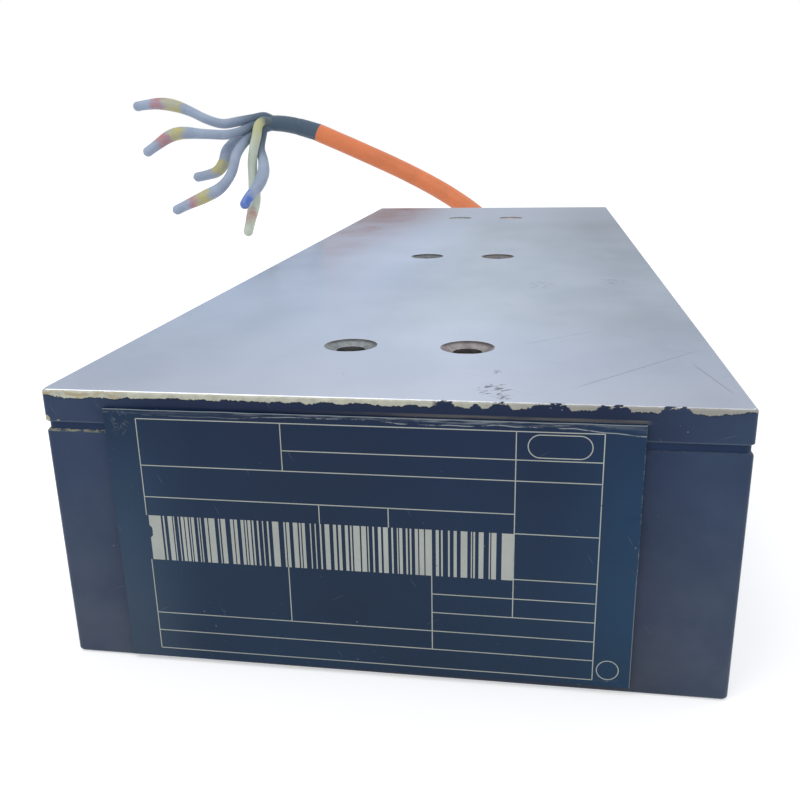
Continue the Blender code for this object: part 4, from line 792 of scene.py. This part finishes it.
def sweep(name, points, radii, finish, sides=24):
    """A round tube along the points, closed at both ends, which knows the distance from its ends."""
    bm = bmesh.new()
    along_layer = bm.verts.layers.float.new("along")
    tip_layer = bm.verts.layers.float.new("from_tip")
    total = path_length(points)
    along = 0
    side = Vector((0, 0, 1)).cross(points[1] - points[0]).normalized()
    rings = []
    for i, (point, radius) in enumerate(zip(points, radii)):
        if i:
            along += (point - points[i - 1]).length
        ahead = points[min(i + 1, len(points) - 1)] - points[max(i - 1, 0)]
        ahead.normalize()
        side = (side - ahead * side.dot(ahead)).normalized()
        other = ahead.cross(side)
        ring = []
        for k in range(sides):
            turn = 2 * math.pi * k / sides
            vert = bm.verts.new(point + radius * (math.cos(turn) * side + math.sin(turn) * other))
            vert[along_layer] = along
            vert[tip_layer] = total - along
            ring.append(vert)
        rings.append(ring)
    for low, high in zip(rings, rings[1:]):
        for k in range(sides):
            j = (k + 1) % sides
            bm.faces.new((low[k], low[j], high[j], high[k]))
    bm.faces.new(rings[0])
    bm.faces.new(rings[-1])
    return add_mesh(name, bm, finish)


def lead_diameter(along, length):
    """Thin in the bunch at the root, thickest under the coloured marks, and round at the tip."""
    swell = min(1, along / LEAD_SWELL_LENGTH)
    away = min(1, abs(length - along - LEAD_MARK_FROM_TIP) / LEAD_MARK_HALF_LENGTH)
    mark = (1 + math.cos(math.pi * away)) / 2
    diameter = LEAD_ROOT_DIAMETER + (LEAD_DIAMETER - LEAD_ROOT_DIAMETER) * swell
    diameter += (LEAD_MARK_DIAMETER - LEAD_DIAMETER) * mark
    tip = LEAD_DIAMETER / 2
    into_tip = max(0, along - (length - tip)) / tip
    return diameter * math.sqrt(max(0.02, 1 - into_tip**2))


def make_cable():
    """Jacket, sleeve and leads on the route of their solids."""
    in_gland = (CABLE_INNER_Y, (CABLE_INNER_Y + NUT_HIGH.y) / 2, NUT_HIGH.y)
    straight = [(0, y, CONNECTION_HEIGHT) for y in in_gland]
    line = smooth_path(straight + CABLE_ROUTE, 1.5 * MM)
    radii = []
    for i in range(len(line)):
        uneven = noise.noise(Vector((0, 0, 0.11 * i))) * 0.05 * MM
        radii.append(CABLE_DIAMETER / 2 + uneven)
    orange = cord_finish("jacket_orange", ORANGE, 0.48)
    jacket = sweep("cable_jacket_skin", line, radii, orange, 32)
    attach(jacket, "root")
    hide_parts("cable_jacket")

    jacket_end, before_end = Vector(CABLE_ROUTE[-1]), Vector(CABLE_ROUTE[-2])
    tucked = jacket_end + (before_end - jacket_end).normalized() * SLEEVE_TUCK
    line_of_sleeve = smooth_path([tucked, *SLEEVE_ROUTE], FINE_STEP)
    last = len(line_of_sleeve) - 1
    radii = []
    for i in range(last + 1):
        share = i / last
        radius = CABLE_DIAMETER / 2 + (SLEEVE_END_DIAMETER - CABLE_DIAMETER) / 2 * share
        radius += noise.noise(Vector((0.25 * i, 3, 0))) * 0.16 * MM * min(1, 4 * share)
        radius -= 0.35 * MM * max(0, 1 - i * FINE_STEP / SLEEVE_TUCK)
        if i == last:
            radius -= 0.35 * MM
        radii.append(radius)
    dark = cord_finish("sleeve_dark", SLEEVE_BLUE, 0.5)
    sleeve = sweep("cable_end_sleeve", line_of_sleeve, radii, dark, 32)
    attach(sleeve, "root")
    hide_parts("cable_sleeve")

    sleeve_end = Vector(SLEEVE_ROUTE[-1])
    back = (Vector(SLEEVE_ROUTE[-2]) - sleeve_end).normalized() * LEAD_START_IN_SLEEVE
    for name, route in LEAD_ROUTES.items():
        root = sleeve_end + 0.3 * (Vector(route[0]) - sleeve_end) + back
        line = smooth_path([root, *route], FINE_STEP)
        length = path_length(line)
        spacing = length / (len(line) - 1)
        radii = [lead_diameter(spacing * i, length) / 2 for i in range(len(line))]
        lead = sweep(name + "_skin", line, radii, lead_finish(name, LEAD_MARKS[name]))
        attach(lead, "root")
        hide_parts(name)


def fill_grid(bm, grid):
    for low, high in zip(grid, grid[1:]):
        for i in range(len(low) - 1):
            bm.faces.new((low[i], low[i + 1], high[i + 1], high[i]))


def label_rise(x, z):
    """How far the foil stands off its solid: waves, a lifted top edge and a blister at the right."""
    rise = 0.03 * MM * noise.noise(Vector((x / (14 * MM), 0, z / (9 * MM))))
    below = (LABEL_HIGH.z - z) / (1.3 * MM)
    if below < 1:
        lift = 0.5 + noise.noise(Vector((x / (5 * MM), 7, 0)))
        rise += 0.16 * MM * max(0, lift) * (1 - below) ** 2
    across = (x / MM - BLISTER_PLACE[0]) / BLISTER_REACH[0]
    up = (z / MM - BLISTER_PLACE[1]) / BLISTER_REACH[1]
    inside = min(1, max(0, (1 - math.hypot(across, up)) / 0.22))
    return rise + BLISTER_LIFT * MM * inside * inside * (3 - 2 * inside)


def make_label():
    """The foil as a fine sheet that folds back to the wall at its edges."""
    bm = bmesh.new()
    columns = round((LABEL_HIGH.x - LABEL_LOW.x) / LABEL_STEP)
    rows = round((LABEL_HIGH.z - LABEL_LOW.z) / LABEL_STEP)
    grid = []
    for j in range(rows + 1):
        line = []
        for i in range(columns + 1):
            x = LABEL_LOW.x + (LABEL_HIGH.x - LABEL_LOW.x) * i / columns
            z = LABEL_HIGH.z - (LABEL_HIGH.z - LABEL_LOW.z - LABEL_TILT * i / columns) * (1 - j / rows)
            line.append(bm.verts.new((x, LABEL_LOW.y - label_rise(x, z), z)))
        grid.append(line)
    fill_grid(bm, grid)
    right, left = [line[-1] for line in grid[1:]], [line[0] for line in grid[-2:0:-1]]
    rim = grid[0] + right + grid[-1][-2::-1] + left
    back = [bm.verts.new((v.co.x, FRONT, v.co.z)) for v in rim]
    for i in range(len(rim)):
        j = (i + 1) % len(rim)
        bm.faces.new((rim[i], back[i], back[j], rim[j]))
    bm.faces.new(back)
    label = add_mesh("rating_plate_foil", bm, foil_finish())
    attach(label, "root")
    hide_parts("rating_plate")
    return label


def print_point(bm, x, z):
    rise = label_rise(x * MM, z * MM) + PRINT_LIFT
    return bm.verts.new((x * MM, LABEL_LOW.y - rise, z * MM))


def print_patch(bm, left, foot, width, height, step=0.6):
    """A printed rectangle that follows the foil, in millimetres."""
    columns = max(1, round(width / step))
    rows = max(1, round(height / step))
    grid = []
    for j in range(rows + 1):
        line = []
        for i in range(columns + 1):
            line.append(print_point(bm, left + width * i / columns, foot + height * j / rows))
        grid.append(line)
    fill_grid(bm, grid)
    return grid


def print_loop(bm, points):
    """A closed line of even width through the points."""
    inner, outer = [], []
    count = len(points)
    for i, (x, z) in enumerate(points):
        before, after = points[i - 1], points[(i + 1) % count]
        along = Vector((after[0] - before[0], after[1] - before[1])).normalized() * LINE_WIDTH / 2
        for ring, side in ((inner, 1), (outer, -1)):
            ring.append(print_point(bm, x - side * along.y, z + side * along.x))
    for i in range(count):
        j = (i + 1) % count
        bm.faces.new((inner[i], inner[j], outer[j], outer[i]))


def arc_points(centre, radius, start, end, count):
    angles = [math.radians(start + (end - start) * i / count) for i in range(count + 1)]
    return [(centre[0] + radius * math.cos(a), centre[1] + radius * math.sin(a)) for a in angles]


def make_print():
    """Ruled lines, an empty rounded field, a ring and a made-up row of bars; all fields stay bare."""
    bm = bmesh.new()
    for z, left, right in PRINT_ROWS:
        print_patch(bm, left, z - LINE_WIDTH / 2, right - left, LINE_WIDTH)
    for x, foot, head in PRINT_COLUMNS:
        print_patch(bm, x - LINE_WIDTH / 2, foot, LINE_WIDTH, head - foot)

    radius = (FIELD_HEAD - FIELD_FOOT) / 2
    middle = (FIELD_HEAD + FIELD_FOOT) / 2
    field = arc_points((FIELD_RIGHT - radius, middle), radius, -90, 90, 16)
    field += arc_points((FIELD_LEFT + radius, middle), radius, 90, 270, 16)
    print_loop(bm, field)
    print_loop(bm, arc_points(RING_PLACE, RING_RADIUS, 0, 345, 23))

    pattern = random.Random(7)
    x = BARS_LEFT
    width = 1.9
    while x < BARS_RIGHT:
        width = min(width, BARS_RIGHT - x)
        grid = print_patch(bm, x, BARS_FOOT, width, BARS_HEAD - BARS_FOOT, 0.4)
        if x == BARS_LEFT:
            for line in grid:
                height = (line[0].co.z / MM - BARS_FOOT) / (BARS_HEAD - BARS_FOOT)
                bite = noise.noise(Vector((0, 3.3, 7 * height))) + 0.75 - 4 * abs(height - 0.68)
                line[0].co.x += 0.7 * MM * max(0, bite)
        x += width + pattern.choice((0.17, 0.22, 0.30, 0.50, 0.55, 0.75))
        width = pattern.choice((0.17, 0.25, 0.25, 0.45, 0.45, 0.70, 0.95))
        if x > BARS_RIGHT - 3.0:
            width = BARS_RIGHT - x
    printed = add_mesh("rating_plate_print", bm, print_finish())
    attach(printed, "root")


def make_thread(name, place, axis, side, radius, pitch, height, start, depth, finish, slot):
    """A helical ridge on a bore's wall, from start to depth along the axis."""
    bm = bmesh.new()
    axis, side = Vector(axis), Vector(side)
    other = axis.cross(side)
    wall = radius + 0.02 * MM
    steps = 28
    count = round((depth - start) / pitch * steps)
    last = None
    for i in range(count + 1):
        turn = 2 * math.pi * i / steps
        grow = min(1, i / steps, (count - i) / steps)
        reach = start + pitch * i / steps
        ray = math.cos(turn) * side + math.sin(turn) * other
        crest = radius - height * max(0.05, grow)
        section = []
        for along, away in ((-0.42, wall), (-0.07, crest), (0.07, crest), (0.42, wall)):
            section.append(bm.verts.new(Vector(place) + axis * (reach + along * pitch) + ray * away))
        if last:
            for k in range(4):
                j = (k + 1) % 4
                bm.faces.new((last[k], last[j], section[j], section[k]))
        else:
            bm.faces.new(section)
        last = section
    bm.faces.new(last)
    thread = add_mesh(name, bm, finish, math.radians(25))
    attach(thread, "root")


def make_threads():
    steel = plain_finish("thread_steel", (0.20, 0.18, 0.17), 0.38, 1, 1)
    brass = plain_finish("thread_brass", (0.62, 0.44, 0.18), 0.30, 1, 1)
    for i, (x, y) in enumerate(HOLE_PLACES, start=1):
        make_thread(f"hole_thread_{i}", (x, y, TOP), (0, 0, -1), (1, 0, 0), **HOLE_THREAD,
                    start=1.4 * MM, depth=11 * MM, finish=steel, slot="plate_metal")
    for name in ("coolant_port_inlet", "coolant_port_outlet"):
        low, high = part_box(name)
        middle = (low + high) / 2
        make_thread(name + "_thread", (middle.x, high.y, middle.z), (0, -1, 0), (1, 0, 0), **PORT_THREAD,
                    start=1.3 * MM, depth=8.4 * MM, finish=brass, slot="brass")


def make_camera():
    data = bpy.data.cameras.new("camera")
    data.lens = CAMERA_LENS
    data.sensor_width = 36
    data.clip_start = 0.01
    turn = [math.radians(angle) for angle in CAMERA_TURN]
    bpy.context.scene.camera = add_object("camera", data, CAMERA_PLACE, turn)
    bpy.context.scene.view_settings.view_transform = "Standard"


def make_floor():
    """A white floor that keeps a faint shadow, and stays white where the camera sees it."""
    bm = bmesh.new()
    bmesh.ops.create_grid(bm, x_segments=1, y_segments=1, size=6)
    f = Finish("floor", 0.9, specular=0)
    f.set("Base Color", (0.82, 0.82, 0.82))
    nodes, links = f.nodes, f.links
    path = nodes.new("ShaderNodeLightPath")
    seen = f.most(path.outputs["Is Camera Ray"], path.outputs["Is Glossy Ray"])
    glow = nodes.new("ShaderNodeEmission")
    glow.inputs["Strength"].default_value = 0.45
    add = nodes.new("ShaderNodeAddShader")
    pick = nodes.new("ShaderNodeMixShader")
    links.new(f.shader.outputs[0], add.inputs[0])
    links.new(glow.outputs[0], add.inputs[1])
    links.new(seen, pick.inputs[0])
    links.new(f.shader.outputs[0], pick.inputs[1])
    links.new(add.outputs[0], pick.inputs[2])
    links.new(pick.outputs[0], nodes["Material Output"].inputs["Surface"])
    mesh = bpy.data.meshes.new("floor")
    bm.to_mesh(mesh)
    bm.free()
    mesh.materials.append(f.material)
    add_object("floor", mesh, (0, 0, -0.05 * MM))


def make_world():
    """Even light, and plain white where the camera or a reflection sees the surroundings."""
    world = bpy.data.worlds.new("studio")
    bpy.context.scene.world = world
    world.use_nodes = True
    nodes, links = world.node_tree.nodes, world.node_tree.links
    soft = nodes["Background"]
    soft.inputs["Color"].default_value = (0.93, 0.96, 1, 1)
    soft.inputs["Strength"].default_value = 0.80
    white = nodes.new("ShaderNodeBackground")
    white.inputs["Color"].default_value = (1, 1, 1, 1)
    white.inputs["Strength"].default_value = 1
    path = nodes.new("ShaderNodeLightPath")
    seen = path.outputs["Is Camera Ray"]
    for ray in ("Is Glossy Ray", "Is Transmission Ray"):
        either = nodes.new("ShaderNodeMath")
        either.operation = "MAXIMUM"
        links.new(seen, either.inputs[0])
        links.new(path.outputs[ray], either.inputs[1])
        seen = either.outputs[0]
    pick = nodes.new("ShaderNodeMixShader")
    links.new(seen, pick.inputs[0])
    links.new(soft.outputs[0], pick.inputs[1])
    links.new(white.outputs[0], pick.inputs[2])
    links.new(pick.outputs[0], nodes["World Output"].inputs["Surface"])


def make_lamp(name, place, power, size=0.9):
    """A round lamp that looks at the part."""
    data = bpy.data.lights.new(name, "AREA")
    data.shape = "DISK"
    data.size = size
    data.energy = power
    add_object(name, data, place, (-Vector(place)).to_track_quat("-Z", "Y").to_euler())


def dress_nodes():
    """A finish for every solid that stays."""
    nodes = frame["nodes"]
    steel = brushed_finish("zinc_steel", (0.55, 0.56, 0.58), 0.34)
    brass = plain_finish("brass", (0.60, 0.42, 0.16), 0.30, 1, 1.5, 0.08, 0.001)
    nickel = plain_finish("gland_nickel", (0.66, 0.65, 0.62), 0.24, 1, 5, 0.05, 0.0004)
    rubber = plain_finish("black_rubber", (0.02, 0.02, 0.02), 0.7)
    winding = striped_finish("winding", (0.62, 0.24, 0.10), (0.20, 0.05, 0.02), 0.3, 0.9, "z", 0.9, 0.15)
    tube = plain_finish("copper", (0.70, 0.34, 0.20), 0.32, 1, 2, 0.10, 0.001)
    core = striped_finish("core_iron", (0.26, 0.25, 0.25), (0.10, 0.10, 0.11), 0.5, 0.9, "x", 0.5, 0.05)
    frame_plastic = plain_finish("frame_plastic", (0.72, 0.66, 0.50), 0.5)
    potting = plain_finish("potting_resin", (0.05, 0.05, 0.055), 0.45)
    finishes = {
        "mounting_plate": plate_finish(),
        "casing": casing_finish(),
        "active_face_cover": brushed_finish("cover_steel", (0.50, 0.51, 0.53), 0.33),
        "joint_gasket": plain_finish("gasket_resin", (0.014, 0.030, 0.075), 0.5, specular=0.15),
        "core_stack": core,
        "connection_board": plain_finish("board_laminate", (0.05, 0.20, 0.09), 0.45),
        "inner_lead_earth": plain_finish("earth_insulation", (0.30, 0.42, 0.06), 0.5),
        "temperature_sensor": rubber,
        "cooling_tube": tube,
        "star_point_bar": tube,
    }
    by_start = {
        "core_": steel, "earth_screw": steel, "coil_frame": frame_plastic, "coil_": winding,
        "coolant_port": brass, "terminal": brass, "gland_seal": rubber, "gland_": nickel,
        "potting": potting, "inner_lead": rubber,
    }
    for name, node in nodes.items():
        found = finishes.get(name)
        for start, finish in by_start.items():
            if not found and name.startswith(start):
                found = finish
        if found:
            dress(node, found)


def round_edges():
    """Small roundings that catch the light on outer edges, and a gasket that fills its joint."""
    for name in ("joint_gasket", "casing", "gland_body", "gland_nut"):
        weld = frame["nodes"][name].modifiers.new("join_faces", "WELD")
        weld.merge_threshold = 0.001 * MM
    swell = frame["nodes"]["joint_gasket"].modifiers.new("swell", "DISPLACE")
    swell.mid_level = 0
    swell.strength = GASKET_SWELL
    for name, width in (("casing", 0.22), ("gland_body", 0.25), ("gland_nut", 0.25)):
        bevel = frame["nodes"][name].modifiers.new("edge_rounding", "BEVEL")
        bevel.width = width * MM
        bevel.segments = 3
        bevel.limit_method = "ANGLE"
        bevel.angle_limit = math.radians(28)
        bevel.harden_normals = False


make_camera()
make_world()
make_floor()
make_lamp("key", (-0.55, -0.45, 1), 3.2)
make_lamp("fill", (0.7, 0.5, 0.9), 1.6)
dress_nodes()
round_edges()
make_cable()
make_label()
make_print()
make_threads()
